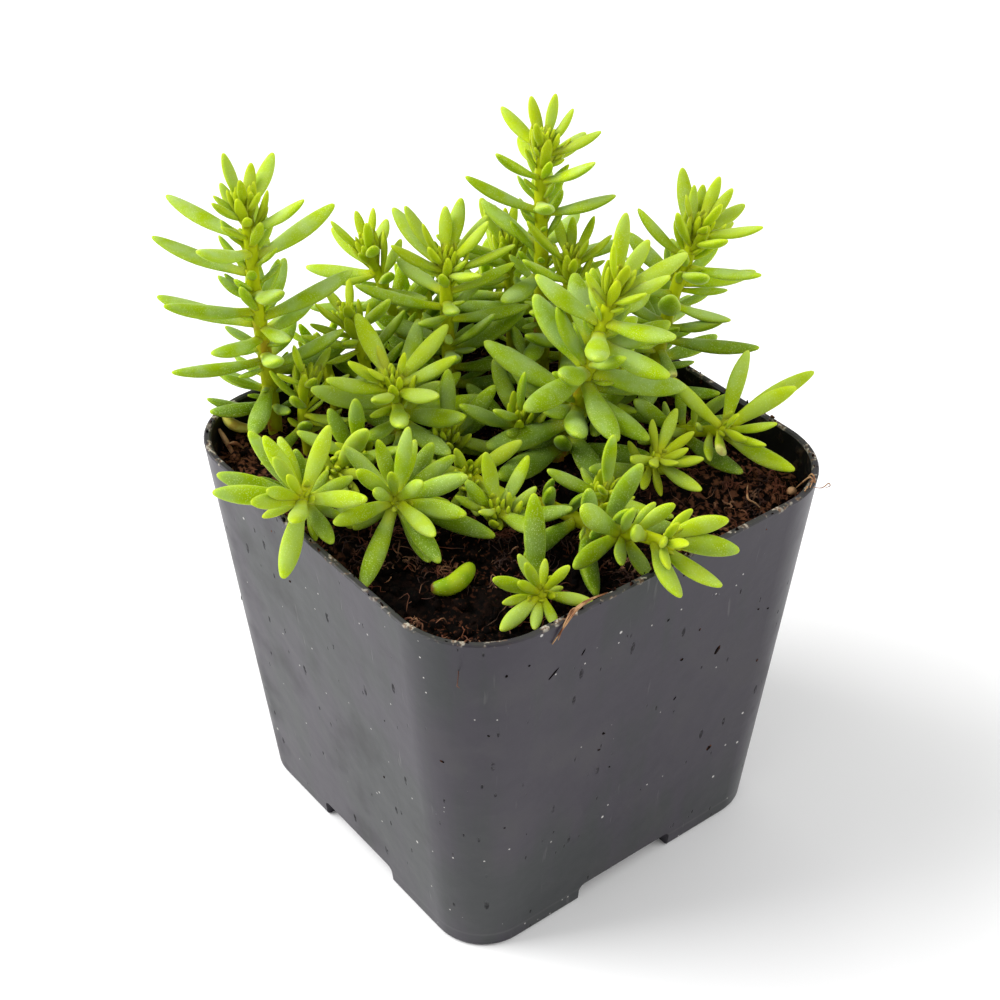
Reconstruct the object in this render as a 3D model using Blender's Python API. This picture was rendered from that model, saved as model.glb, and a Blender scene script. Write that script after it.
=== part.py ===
"""A sedum japonicum in its small square nursery pot: the pot, the soil, the leafy stems and a fallen leaf.

The pot's base is centred on the origin and stands on z = 0, with its sides along X and Y.
Stems and leaves are set out as they are seen from the plant's best side, in millimetres:
across (to the right), near (towards the eye) and height (above the table) for a stem, and
across, up and towards the eye for a leaf.
"""
import math
import random

import bmesh
import bpy
import numpy as np
from mathutils import Matrix, Vector
from mathutils.bvhtree import BVHTree

MM = 0.001

# Pot, in millimetres
POT_TOP = 66.0
POT_TOP_CORNER = 12.4
POT_BASE = 54.4
POT_BASE_CORNER = 7.7
POT_HEIGHT = 60.0
POT_WALL = 1.0
BASE_ROUND = 0.6
FLOOR_TOP = 4.0
FOOT_HEIGHT = 2.5
ARCH_WIDTH = 17.0
ARCH_SLOPE = 2.0
FOOT_FLOOR = 1.2
FOOT_CORNER = 5.5
FOOT_TAPER = 0.6
ARCH_ROUND = 0.7
DRAIN_HOLE = 5.0
DRAIN_SPREAD = 14.0
DRAIN_SIDES = 12
CORNER_STEPS = 4
CUT_OVER = 1.0

# Soil, in millimetres
GAP = 0.3
SOIL_TOP = 55.6
SOIL_RELIEF = 0.7
SOIL_DROOP = 1.2
SOIL_SIDE_POINTS = 1
SOIL_RINGS = (1.0, 0.84, 0.6, 0.3)
HOLE_SIDES = 6
PEG_DEPTH = 7.0

# Where the plant's best side is seen from, in degrees and millimetres
EYE_TURN = math.radians(52.1)
EYE_NEAR = 206.0
EYE_HEIGHT = 203.0
EYE_ACROSS = -1.0

# Leaves, in millimetres
LEAF_SLIM = 1.1
LEAF_SPREAD = 0.155
LEAF_WIDEST = 3.1
LEAF_THICK = 0.76
LEAF_BOW = 0.09
LEAF_LONGEST = 15.0
LEAF_ROOT_WIDTH = 0.62
LEAF_SWELL = 0.8
LEAF_BLUNT = 5.5
LEAF_RINGS = (0.0, 0.22, 0.78, 1.0)
LEAF_FULL = 0.55
LEAF_RISE = 0.8
ROOT_DEPTH = 0.7
STEM_TAPER = 0.25

# Leaves of the spiral rule: their angle from the stem when old and how much less when young,
# in degrees, how much shorter the youngest are, and the random draws
OPEN_OLD = 82
OPEN_LESS = 58
YOUNG_FROM = 0.6
YOUNG_SHORTER = 0.5
DRAW_TURN = 0.25
DRAW_OPEN = 8
DRAW_SIZE = (0.88, 1.08)

# Keeping a leaf clear, in millimetres: the gap, the balls that stand for the leaf, and the
# shares of its length, the lifts and the pushes towards the eye that are tried
CLEAR = 0.3
SOIL_CLEAR = 0.5
BALL_STEP = 1.4
BALL_FROM = 0.2
BALL_TO = 0.95
BALL_FIT = 0.48
STEM_BALLS = 45
TRIED_LENGTHS = (1.0, 0.88, 0.76, 0.64)
TRIED_LIFTS = (0, 1.2, -1.2, 2.4)
TRIED_PUSHES = (0, 1.5, -1.5, 3, -3, 4.5, -4.5, 6.5, -6.5)

# Each leafy stem: its name, its thickness, the points that it passes through as
# (across, near, height), its leaves from the bottom up as (share of the stem's length at the
# root, across, up, towards the eye), and the leaves that follow the spiral rule as
# (how many, lowest share, highest share, length)
STEMS = [
    ("stem_middle_tall", 3.2,
     [(6.8, -2.5, 56), (7.8, -3, 58), (10.6, -3, 70), (12.7, -3, 78.5), (14.4, -3, 84)],
     [(0.10, -7.8, -5.4, 3), (0.10, -6.8, 0.4, 5), (0.17, 3.8, -6.8, 5), (0.22, -10.3, -4.5, 1),
      (0.26, -9, 7.6, -2), (0.30, -3.5, -1.0, 5), (0.36, -12, 5.9, -1), (0.40, 7.7, -6.5, 3),
      (0.42, 9.4, 0.8, -2), (0.45, 3.6, -7.7, 6), (0.50, 11.6, -2.1, 0), (0.50, -7.3, -5.6, 6),
      (0.52, -6.4, 8.2, 1), (0.54, -3.2, 6.4, 5), (0.55, 3.5, 0.8, 6), (0.62, -2.6, 8.7, -4),
      (0.66, 8.2, -4.3, 3), (0.69, 4.0, 1.6, -6), (0.71, -0.3, -3.4, 10), (0.76, -7.7, 4.9, 3),
      (0.77, 7.9, -1.8, 4), (0.82, 4.5, 1.8, -7), (0.86, -1.4, 1.6, 3), (0.88, 3.4, 1.2, 5),
      (0.90, 5.6, 2.8, 3), (0.92, 7.8, 4.9, -1), (0.95, 3.2, 5.2, -3), (0.96, 1.2, 2.6, 4),
      (0.97, 0.9, 7.7, 0), (0.98, 0.3, 4.2, 3)],
     (3, 0.08, 0.30, 10)),
    ("stem_front_upright", 2.8,
     [(-14, -5, 56), (-14.5, -3.5, 61), (-15.3, -2, 69.5)],
     [(0.25, -3.7, -0.9, 5), (0.45, 5.7, -4.9, 4), (0.48, -4.1, -2.5, 7), (0.50, 10.4, 1.3, -3),
      (0.55, 7.7, -1.2, 6), (0.66, -10, 2.0, 3), (0.68, 0.3, -2.9, 9), (0.84, -2.3, -0.9, 8),
      (0.86, 4.9, -1.3, 7), (0.87, -7.5, 1.2, 5), (0.90, 7.2, 2.9, 4), (0.93, 6.8, 6.4, -3),
      (0.94, -4.4, 2.5, 3), (0.96, -3.9, 7.9, -3), (0.97, -1.3, 3.3, -1), (0.97, 0.5, 2.6, 2),
      (0.98, -1.9, 1.4, 2.5)],
     (4, 0.12, 0.42, 10)),
    ("stem_left_tall", 3.0,
     [(-32.5, -10, 56), (-33, -10, 67), (-33.6, -9, 80), (-33.5, -9, 86), (-33.9, -9, 92.5)],
     [(0.03, -7.0, 0.6, -1), (0.07, -7.4, 2.0, 1), (0.12, -7.2, -1.0, 4), (0.17, -6.4, 2.3, -8),
      (0.18, -4.8, 1.8, 1), (0.20, -2.5, -6.6, 8), (0.23, -3.3, 2.3, -2), (0.25, 10.5, 2.2, -5),
      (0.28, 9.4, 3.6, 5), (0.31, -11.3, -1.1, 4), (0.31, 4.0, 4.2, -9), (0.34, 1.4, -1.0, 11),
      (0.37, -3.9, 2.0, -3),
      (0.43, 7.9, 4.5, -7), (0.47, -12.3, 4.0, -4), (0.50, 11.6, 4.6, 3), (0.53, -10.8, 1.2, 5),
      (0.59, -2.4, 2.6, 1), (0.61, 2.8, -0.2, 11), (0.69, -13.3, 5.8, -3), (0.75, 10.4, 5.6, -3),
      (0.78, -5.9, 0.3, 10), (0.80, 1.9, 2.9, -11), (0.83, -9.4, 5.6, -5), (0.87, 6.1, 2.8, 6),
      (0.91, -3.1, 2.1, 4), (0.94, 3.6, 6.2, -5), (0.95, 0.9, 4.6, -2), (0.96, -1.3, 5.8, 1.5),
      (0.97, -0.3, 3.0, 3)],
     (0, 0, 0, 0)),
    ("stem_back_tall", 3.2,
     [(5, -22, 56), (4.8, -22, 70), (4.6, -22, 83), (4.5, -22, 89), (5.1, -22, 94.5)],
     [(0.57, -7.5, 5.4, -6), (0.57, 4.5, 3.8, -7), (0.71, 8.6, 1.9, 4), (0.72, -8.8, 3.9, 4),
      (0.75, 0.7, -0.5, 11), (0.77, 0.5, 3.5, -10), (0.84, 5.9, 2.0, 7), (0.85, -4.8, 2.7, 6),
      (0.88, -2.8, 3.1, -7), (0.90, 5.0, 3.2, -7), (0.94, 6.0, 2.6, 3), (0.95, -5.0, 4.6, -4),
      (0.96, 2.3, 4.4, 1), (0.96, -0.4, 3.0, 3), (0.97, -1.3, 5.2, -1), (0.98, 0.9, 5.2, 1)],
     (9, 0.12, 0.52, 11)),
    ("stem_right_back", 3.0,
     [(20, -18, 56), (22.3, -18, 69.6), (24.2, -18, 77.5), (26.1, -18, 84)],
     [(0.30, 1.9, -4.8, 3), (0.35, 12.2, -1.0, 2), (0.42, 6.7, 1.0, 6), (0.43, 2.7, 3.0, -7),
      (0.55, 6.9, -2.0, 5), (0.66, 9.5, 1.6, -6), (0.67, -6.8, 5.2, -6), (0.69, -1.5, 4.2, -9),
      (0.72, 2.9, -0.2, 9), (0.76, 9.0, -0.8, 4), (0.80, -5.9, 5.4, 4), (0.89, 3.6, 0.6, 6),
      (0.90, -2.0, 8.6, -5), (0.91, 4.1, 1.6, -6), (0.94, 7.2, 1.2, 3), (0.95, 5.0, 3.2, -4),
      (0.96, -0.8, 3.6, 2), (0.96, 3.1, 4.9, 0), (0.97, 1.9, 3.4, 3), (0.97, 0.1, 4.6, -3),
      (0.98, 1.8, 5.6, -1)],
     (5, 0.06, 0.28, 11)),
    ("stem_middle_back", 3.0,
     [(-8, -18, 56), (-8.4, -17, 70.3), (-8.5, -17, 79.5)],
     [(0.35, 0.6, -1.2, 9), (0.40, 5.2, 3.7, 7), (0.42, -9.0, 2.8, -3), (0.58, 10.1, 1.1, 4),
      (0.66, -11.1, 2.7, 4), (0.70, 0.9, -1.5, 10), (0.75, -6.0, 3.9, -7), (0.89, 3.9, -0.6, 7),
      (0.90, 8.1, 2.8, 3), (0.91, -5.9, 2.9, 5), (0.92, -6.2, 7.3, -4), (0.93, 5.1, 5.8, -4),
      (0.95, 4.5, 4.9, 3), (0.96, -4.2, 6.6, 0), (0.97, 1.9, 7.2, -2), (0.97, -1.5, 4.5, 3),
      (0.98, 0.1, 5.8, 0)],
     (4, 0.10, 0.32, 11)),
    ("stem_front_rosette", 2.8,
     [(-14, 8, 56), (-14.3, 12, 59.5), (-14.4, 15, 62)],
     [(0.62, 3.4, -8.0, -1), (0.66, 11.3, -4.7, 0), (0.72, -4.6, -2.8, 1), (0.80, 5.7, -0.6, 0),
      (0.84, -4.2, -9.9, 3), (0.86, 4.5, -7.1, 6), (0.88, 7.6, -2.0, 5), (0.88, -6.6, -2.2, 6),
      (0.90, 6.9, 4.6, -1), (0.91, 8.0, 2.2, 4), (0.92, 2.5, 6.4, -2), (0.93, -5.3, 6.0, 1),
      (0.94, 1.8, 7.9, 1), (0.95, 3.8, -3.9, 7), (0.96, -3.5, 2.9, 6), (0.97, 2.3, 1.4, 6),
      (0.98, -0.3, 2.0, 4), (0.98, -1.3, 0.6, 5)],
     (0, 0, 0, 0)),
    ("stem_left_rosette", 2.6,
     [(-26, 9.5, 56), (-26, 13.5, 60.6), (-25.8, 18.1, 64.5)],
     [(0.80, -4.2, -1.6, -3), (0.90, -2.8, -8.6, 0.6), (0.86, 6.7, -0.6, 6), (0.88, -9.9, 1.4, 3),
      (0.90, -2.0, 6.9, -3), (0.92, -3.7, 7.1, 0), (0.93, 3.6, 7.8, 0), (0.94, -5.0, 0.0, 6),
      (0.95, -0.9, -1.6, 9), (0.96, -2.5, 4.2, 3), (0.97, -3.0, 0.9, 5), (0.98, -1.0, 1.8, 3)],
     (0, 0, 0, 0)),
    ("stem_front_creeping", 2.8,
     [(3, 8, 56.4), (6, 11, 57.6), (11.8, 17, 58.6), (16.4, 22.3, 61.8), (20.2, 25.8, 62.8)],
     [(0.34, -6.4, -4.0, 2), (0.42, 1.2, -7.4, 4), (0.47, -1.4, 4.2, 6), (0.53, 3.7, 7.4, 3),
      (0.60, 1.6, 1.8, 4), (0.66, -5.4, -3.9, 5), (0.68, 0.0, -2.9, 4), (0.70, 0.8, 2.2, 5),
      (0.72, 2.0, 3.0, 0), (0.76, 3.7, 2.9, 2), (0.84, -1.4, 0.5, 6.5), (0.90, 3.3, -5.4, 6),
      (0.91, 7.1, -3.9, 2.3), (0.92, 8.4, -0.8, 2), (0.93, 6.8, 2.3, 2), (0.94, 2.2, 3.3, 0),
      (0.96, 0.9, 1.8, 3), (0.96, 0.6, -2.2, 4), (0.97, -0.5, 0.2, 4), (0.97, 2.4, -0.2, 4)],
     (0, 0, 0, 0)),
    ("stem_right_rosette", 2.6,
     [(22, -8, 56), (23.6, -5.5, 58.6), (26.1, -3, 60.2), (29.7, 0, 62.6)],
     [(0.30, 7.8, -6.6, 4), (0.36, -1.0, 5.2, 1), (0.76, -0.1, -3.2, 4), (0.88, 0.9, -3.4, 6),
      (0.90, 8.9, -3.6, 4), (0.91, -7.4, 5.4, 1), (0.93, 10.3, 8.0, -3), (0.94, 1.5, 9.7, -2),
      (0.95, 7.8, 5.3, 2), (0.96, 5.2, 0.9, 4), (0.96, 4.9, -0.6, 5), (0.97, 2.6, -0.6, 5),
      (0.98, 1.4, 1.4, 4)],
     (0, 0, 0, 0)),
    ("stem_back_right", 3.0,
     [(8, -18, 56), (8.4, -19, 68), (8.6, -20, 78)],
     [(0.62, -8.0, 2.9, 3), (0.70, 4.5, -1.2, 5), (0.80, 3.8, 0.4, 7), (0.83, -5.3, 2.2, 7),
      (0.87, 4.0, 0.8, -5), (0.92, 4.2, 3.8, 2), (0.93, 3.4, 1.8, -5), (0.95, -4.5, 4.7, 2),
      (0.96, 0.2, 4.8, -4), (0.97, 1.9, 5.0, 1), (0.98, -1.0, 4.8, 1)],
     (5, 0.12, 0.55, 11)),
    ("stem_right_low", 2.6,
     [(18, 2, 56), (19, 3, 58.5), (20, 4, 61)],
     [(0.45, -7.0, -1.0, 2), (0.60, -1.0, -2.8, 3), (0.72, 0.6, -3.8, 1), (0.86, 5.1, -3.2, 4),
      (0.88, 4.8, 0.7, 4), (0.90, -2.8, -0.4, 5), (0.92, 3.5, 2.9, 0), (0.93, 1.7, 5.4, -1),
      (0.94, -0.8, 3.6, 0), (0.95, 2.5, 1.6, 3), (0.97, 2.0, 0.0, 4), (0.98, -0.4, -0.8, 5)],
     (0, 0, 0, 0)),
    ("stem_front_low", 2.6,
     [(3.6, 27, 56), (3.9, 28.6, 57.6), (4.1, 30, 58.8)],
     [(0.70, 5.2, -0.8, 2), (0.75, -3.6, -1.0, 2), (0.80, -0.5, -3.2, 3), (0.84, -4.0, -3.8, 4),
      (0.88, 1.5, -2.9, 5), (0.90, -4.8, 1.3, 4), (0.92, -2.4, 3.7, 0), (0.93, 0.2, 3.0, 0),
      (0.94, 2.4, 2.4, 3), (0.95, -1.4, 2.6, 3), (0.97, -1.8, 0.8, 4)],
     (0, 0, 0, 0)),
    ("stem_left_back", 2.6,
     [(-13.5, -24, 56), (-16, -24, 65), (-18, -24, 72), (-20, -24, 77.5)],
     [(0.74, 2.7, 4.2, -2), (0.78, -8.9, 0.8, -3), (0.90, 2.4, 4.0, -5), (0.92, 0.5, 0.8, 6),
      (0.95, -3.4, 4.0, 2), (0.97, -1.0, 4.0, -1), (0.97, 0.7, 4.2, 0)],
     (6, 0.15, 0.66, 10)),
    ("stem_left_small", 2.4,
     [(-18.5, -15, 56), (-20.5, -16, 65), (-22, -16, 71)],
     [(0.76, -5.0, 1.5, 1), (0.84, -3.8, 3.4, 3), (0.94, -2.5, 3.4, -3), (0.95, -0.4, 1.6, 4),
      (0.97, 0.1, 4.0, -1)],
     (5, 0.15, 0.66, 9)),
    ("stem_back_small", 2.6,
     [(1, -28, 56), (0.4, -28, 66), (-0.1, -28, 76)],
     [(0.92, 2.9, 2.3, 3), (0.94, -3.2, 5.9, -3), (0.96, -1.5, 4.5, -2), (0.97, 0.7, 4.6, 0),
      (0.98, -0.2, 3.6, 1.5)],
     (8, 0.15, 0.84, 10)),
    ("stem_left_short", 2.4,
     [(-27.5, -5.5, 56), (-28, -6.5, 61), (-27, -7.5, 66.5)],
     [(0.30, -5.4, -5.4, 4), (0.45, 5.2, -1.8, 5), (0.70, 5.0, 2.0, 1), (0.90, 2.6, 3.6, -1),
      (0.95, -0.6, 3.4, 1)],
     (3, 0.35, 0.85, 8)),
    ("stem_left_lying", 2.4,
     [(-24, -0.5, 56.6), (-23.2, 3, 58.2), (-22.6, 6, 59.6)],
     [(0.60, 4.0, 1.0, 2), (0.78, 1.6, -8.6, 4), (0.88, 3.6, 4.4, 3), (0.94, 3.0, -0.6, 4),
      (0.96, -2.0, 3.0, 0)],
     (0, 0, 0, 0)),
    ("stem_inner_low", 2.4,
     [(-5.5, 4, 56), (-5.2, 5, 58), (-5, 6.5, 60)],
     [(0.80, -6.5, 1.5, 0), (0.85, 6.0, 3.6, -2), (0.90, 6.2, -3.4, 2), (0.92, 0.8, -4.6, 4),
      (0.95, 1.4, 1.8, 3), (0.97, -1.2, 2.2, 2)],
     (0, 0, 0, 0)),
    ("stem_inner_front", 2.4,
     [(-1, 12.5, 56), (-1.2, 13.2, 58), (-1.4, 14, 60)],
     [],
     (8, 0.4, 0.97, 8)),
    ("stem_inner_right", 2.4,
     [(12, 9, 56), (12.6, 9.6, 58), (13.2, 10.4, 60)],
     [],
     (8, 0.4, 0.97, 8)),
    ("stem_inner_left", 2.4,
     [(-20, 0.5, 56), (-20, 1.4, 58.5), (-20, 2.2, 61)],
     [],
     (8, 0.35, 0.97, 8)),
    ("stem_middle_left", 2.4,
     [(-8.5, -3, 56), (-8.2, -1.5, 59.5), (-8, 0, 62.5)],
     [],
     (8, 0.3, 0.97, 9)),
    ("stem_middle_low", 2.4,
     [(1.5, -5, 56), (1.7, -3.6, 60), (2, -2.4, 64)],
     [],
     (9, 0.25, 0.97, 9)),
    ("stem_right_inner", 2.4,
     [(14, -13, 56), (14.4, -12.2, 60), (15, -11.6, 64)],
     [],
     (8, 0.25, 0.97, 9)),
    ("stem_back_corner", 2.6,
     [(-3, -33.6, 56), (-3.3, -34.4, 60.6), (-3.6, -36.2, 65)],
     [],
     (11, 0.25, 0.97, 9)),
    ("stem_back_outer_left", 2.6,
     [(-10.6, -27.5, 56), (-11.9, -28, 60.8), (-14.2, -31, 65.1)],
     [],
     (11, 0.25, 0.97, 9)),
    ("stem_back_outer_right", 2.6,
     [(13, -29, 56), (13.4, -29.8, 61), (13.8, -30.6, 66)],
     [],
     (11, 0.25, 0.97, 9)),
    ("stem_left_outer", 2.4,
     [(-24.4, -15.6, 56), (-25.3, -16.6, 60.8), (-27.2, -19.2, 64.2)],
     [],
     (9, 0.25, 0.97, 9)),
]

# The fallen leaf's middle line, as (across, near), and its thickness
FALLEN_LEAF = [(-9.6, 26.8), (-7.4, 26.6), (-5.8, 24.8), (-4.6, 22.2)]
FALLEN_THICK = 2.6
FALLEN_STEPS = 8
FALLEN_SIDES = 8

GOLDEN_ANGLE = math.radians(137.5)
RIGHT = Vector((math.cos(EYE_TURN), math.sin(EYE_TURN), 0))
NEAR = Vector((math.sin(EYE_TURN), -math.cos(EYE_TURN), 0))
UP = Vector((0, 0, 1))


def seen(across, near, height):
    """A point given as seen from the plant's best side, in the pot's own directions."""
    return RIGHT * across + NEAR * near + UP * height


EYE = seen(EYE_ACROSS, EYE_NEAR, EYE_HEIGHT)


def clear_scene():
    for obj in list(bpy.data.objects):
        bpy.data.objects.remove(obj, do_unlink=True)


def new_collection(name):
    collection = bpy.data.collections.new(name)
    bpy.context.scene.collection.children.link(collection)
    return collection


def plain_material(name, colour, roughness):
    material = bpy.data.materials.new(name)
    material.use_nodes = True
    shader = material.node_tree.nodes["Principled BSDF"]
    shader.inputs["Base Color"].default_value = (*colour, 1.0)
    shader.inputs["Roughness"].default_value = roughness
    shader.inputs["Metallic"].default_value = 0.0
    return material


def new_object(name, mesh, collection, material=None):
    obj = bpy.data.objects.new(name, mesh)
    collection.objects.link(obj)
    if material:
        mesh.materials.append(material)
    return obj


def add_boolean(obj, operation, collection, solver="EXACT"):
    """Cut obj by, or join it with, every object of a collection, and keep the result as its mesh."""
    boolean = obj.modifiers.new("Boolean", "BOOLEAN")
    boolean.operation = operation
    boolean.operand_type = "COLLECTION"
    boolean.collection = collection
    boolean.solver = solver
    bpy.context.view_layer.update()
    evaluated = obj.evaluated_get(bpy.context.evaluated_depsgraph_get())
    mesh = bpy.data.meshes.new_from_object(evaluated)
    obj.modifiers.clear()
    old = obj.data
    obj.data = mesh
    bpy.data.meshes.remove(old)
    for tool in list(collection.objects):
        bpy.data.objects.remove(tool, do_unlink=True)


def square_ring(half, corner, height, side_points=0):
    """Points round a square with round corners, with side_points more along each straight side."""
    points = []
    flat = half - corner
    for quarter in range(4):
        turn = quarter * math.pi / 2
        along_side = Vector((-math.sin(turn), math.cos(turn), 0))
        outward = Vector((math.cos(turn), math.sin(turn), 0))
        for step in range(1, side_points + 1):
            place = -flat + 2 * flat * step / (side_points + 1)
            points.append((outward * half + along_side * place + UP * height) * MM)
        for step in range(CORNER_STEPS + 1):
            angle = step * math.pi / 2 / CORNER_STEPS
            arc = outward * math.cos(angle) + along_side * math.sin(angle)
            points.append(((outward + along_side) * flat + arc * corner + UP * height) * MM)
    return points


def loft(rings):
    """A closed body through a stack of rings with the same number of points, bottom to top."""
    bm = bmesh.new()
    stack = [[bm.verts.new(point) for point in ring] for ring in rings]
    for low, high in zip(stack, stack[1:]):
        count = len(low)
        for k in range(count):
            bm.faces.new((low[k], low[(k + 1) % count], high[(k + 1) % count], high[k]))
    bm.faces.new(list(reversed(stack[0])))
    bm.faces.new(stack[-1])
    mesh = bpy.data.meshes.new("loft")
    bm.to_mesh(mesh)
    bm.free()
    return mesh


def pot_half(height):
    """Half of the pot's outer width, and its corner radius, at a height."""
    share = height / POT_HEIGHT
    half = (POT_BASE + (POT_TOP - POT_BASE) * share) / 2
    corner = POT_BASE_CORNER + (POT_TOP_CORNER - POT_BASE_CORNER) * share
    return half, corner


def pot_ring(height, inset):
    half, corner = pot_half(height)
    return square_ring(half - inset, corner - inset, height)


def build_pot(collection, tools):
    """The thin-walled pot: tapered walls, a raised floor, hollow feet, arches and drain holes."""
    outer = loft([pot_ring(0, BASE_ROUND), pot_ring(BASE_ROUND, 0), pot_ring(POT_HEIGHT, 0)])
    pot = new_object("pot", outer, collection, plain_material("pot_plastic", (0.05, 0.05, 0.055), 0.42))
    over = POT_HEIGHT + CUT_OVER
    new_object("inside", loft([pot_ring(FLOOR_TOP, POT_WALL), pot_ring(over, POT_WALL)]), tools)
    for sign_x in (-1, 1):
        for sign_y in (-1, 1):
            hollow_foot(tools, sign_x, sign_y)
    for turn in (0, math.pi / 2):
        arch_cutter(tools, turn)
    for quarter in range(4):
        drain_cutter(tools, quarter * math.pi / 2)
    add_boolean(pot, "DIFFERENCE", tools)
    return pot


def hollow_foot(tools, sign_x, sign_y):
    """The dip that hollows one foot from inside the pot."""
    inner = ARCH_WIDTH / 2 + ARCH_SLOPE + POT_WALL
    outer = POT_BASE / 2 - POT_WALL - BASE_ROUND
    middle = (inner + outer) / 2
    half = (outer - inner) / 2
    rings = []
    for height, shrink in ((FOOT_FLOOR, FOOT_TAPER), (FLOOR_TOP + CUT_OVER, 0)):
        shift = Vector((sign_x, sign_y, 0)) * middle * MM
        rings.append([point + shift for point in square_ring(half - shrink, FOOT_CORNER, height)])
    new_object("foot_hollow", loft(rings), tools)


def arch_cutter(tools, turn):
    """The low channel that runs right across the base between two pairs of feet."""
    low = ARCH_WIDTH / 2 + ARCH_SLOPE + CUT_OVER
    high = ARCH_WIDTH / 2
    half = [(low, -CUT_OVER), (high + ARCH_ROUND / 2, FOOT_HEIGHT - ARCH_ROUND),
            (high - ARCH_ROUND, FOOT_HEIGHT)]
    outline = half + [(-side, height) for side, height in reversed(half)]
    ends = []
    for end in (-POT_TOP / 2, POT_TOP / 2):
        ring = []
        for side, height in outline:
            x = -end * math.sin(turn) + side * math.cos(turn)
            y = end * math.cos(turn) + side * math.sin(turn)
            ring.append((x * MM, y * MM, height * MM))
        ends.append(ring)
    new_object("arch", loft(list(reversed(ends))), tools)


def drain_cutter(tools, turn):
    bm = bmesh.new()
    bmesh.ops.create_cone(bm, cap_ends=True, segments=DRAIN_SIDES,
                          radius1=DRAIN_HOLE / 2 * MM, radius2=DRAIN_HOLE / 2 * MM,
                          depth=2 * (FLOOR_TOP + CUT_OVER) * MM)
    spot = Vector((math.cos(turn), math.sin(turn), 0)) * DRAIN_SPREAD * MM
    bmesh.ops.translate(bm, verts=bm.verts, vec=spot)
    mesh = bpy.data.meshes.new("drain")
    bm.to_mesh(mesh)
    bm.free()
    new_object("drain", mesh, tools)


def soil_height(x, y):
    """The soil's top, in millimetres: low mounds and dips, a little higher in the middle."""
    mounds = math.sin(0.23 * x + 1.1) * math.cos(0.19 * y - 0.7) + 0.6 * math.sin(0.41 * x - 0.33 * y)
    edge = max(abs(x), abs(y)) / (POT_TOP / 2)
    return SOIL_TOP + SOIL_RELIEF * mounds - SOIL_DROOP * edge ** 4


def build_soil(collection, tools, stems):
    """The plug of soil that fills the pot, with a plain hole where each stem stands."""
    depth = PEG_DEPTH + 2 * GAP + SOIL_RELIEF
    inset = POT_WALL + GAP
    half, corner = pot_half(FLOOR_TOP + GAP)
    rings = [square_ring(half - inset, corner - inset, FLOOR_TOP + GAP, SOIL_SIDE_POINTS)]
    half, corner = pot_half(SOIL_TOP - SOIL_DROOP)
    for share in SOIL_RINGS:
        ring = []
        for x, y, _ in square_ring((half - inset) * share, (corner - inset) * share, 0, SOIL_SIDE_POINTS):
            ring.append((x, y, soil_height(x / MM, y / MM) * MM))
        rings.append(ring)
    soil = new_object("soil", loft(rings), collection, plain_material("peat", (0.035, 0.017, 0.009), 0.95))
    for stem in stems:
        radius = (stem["thick"] / 2 + GAP) / math.cos(math.pi / HOLE_SIDES) * MM
        foot = stem["path"][0]
        bm = bmesh.new()
        bmesh.ops.create_cone(bm, cap_ends=True, segments=HOLE_SIDES, radius1=radius,
                              radius2=radius, depth=depth * MM)
        bmesh.ops.translate(bm, verts=bm.verts, vec=(foot + UP * (depth / 2 - GAP)) * MM)
        mesh = bpy.data.meshes.new("hole")
        bm.to_mesh(mesh)
        bm.free()
        new_object("hole", mesh, tools)
    add_boolean(soil, "DIFFERENCE", tools)
    return soil


def smooth_path(points, steps):
    """Points along the smooth curve through the given points."""
    spread = [points[0] * 2 - points[1]] + points + [points[-1] * 2 - points[-2]]
    path = []
    for a, b, c, d in zip(spread, spread[1:], spread[2:], spread[3:]):
        for step in range(steps):
            t = step / steps
            path.append(0.5 * ((2 * b) + (c - a) * t + (2 * a - 5 * b + 4 * c - d) * t ** 2
                               + (3 * b - a - 3 * c + d) * t ** 3))
    path.append(points[-1].copy())
    return path


def along(path, share):
    """The place and the direction at a share of a path's length."""
    lengths = [(b - a).length for a, b in zip(path, path[1:])]
    left = share * sum(lengths)
    for a, b, length in zip(path, path[1:], lengths):
        if left <= length or b is path[-1]:
            return a + (b - a) * (left / length), (b - a).normalized()
        left -= length


def eye_axes(spot):
    """Right, up and towards the eye, as seen from the plant's best side at a spot."""
    towards = (EYE - spot).normalized()
    right = UP.cross(towards).normalized()
    return right, towards.cross(right), towards


def leaf_shape(root, reach, stem_line):
    """A leaf from its root to its tip: its middle line as three points, its width and its up side."""
    length = reach.length
    line = reach.normalized()
    face = stem_line - line * stem_line.dot(line)
    if face.length < 0.2:
        face = line.orthogonal()
    face.normalize()
    bend = root + reach * 0.5 - face * LEAF_BOW * length
    width = min(LEAF_WIDEST, LEAF_SLIM + LEAF_SPREAD * length)
    return {"line": (root, bend, root + reach), "width": width, "face": face}


def leaf_point(leaf, t):
    a, b, c = leaf["line"]
    return a * (1 - t) ** 2 + b * 2 * t * (1 - t) + c * t ** 2


def leaf_width(t):
    """The leaf's width as a share of its widest: a narrow root, a full middle and a blunt tip."""
    swell = math.sin(math.pi * min(t * LEAF_SWELL, 1))
    tip = math.sqrt(max(0, 1 - t ** LEAF_BLUNT))
    return (LEAF_ROOT_WIDTH + (1 - LEAF_ROOT_WIDTH) * swell) * tip


def leaf_balls(leaf):
    """Balls along the outer part of a leaf, which stand for it when it is kept clear of others."""
    length = (leaf["line"][2] - leaf["line"][0]).length
    count = max(3, round(length / BALL_STEP))
    balls = []
    for k in range(count + 1):
        t = BALL_FROM + (BALL_TO - BALL_FROM) * k / count
        point = leaf_point(leaf, t)
        balls.append((point.x, point.y, point.z, BALL_FIT * leaf["width"] * leaf_width(t)))
    return balls


def stem_balls(stem):
    """Balls along a stem above the soil."""
    balls = []
    for k in range(STEM_BALLS):
        point, _ = along(stem["above"], k / (STEM_BALLS - 1))
        balls.append((point.x, point.y, point.z, stem["thick"] / 2))
    return balls


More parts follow.
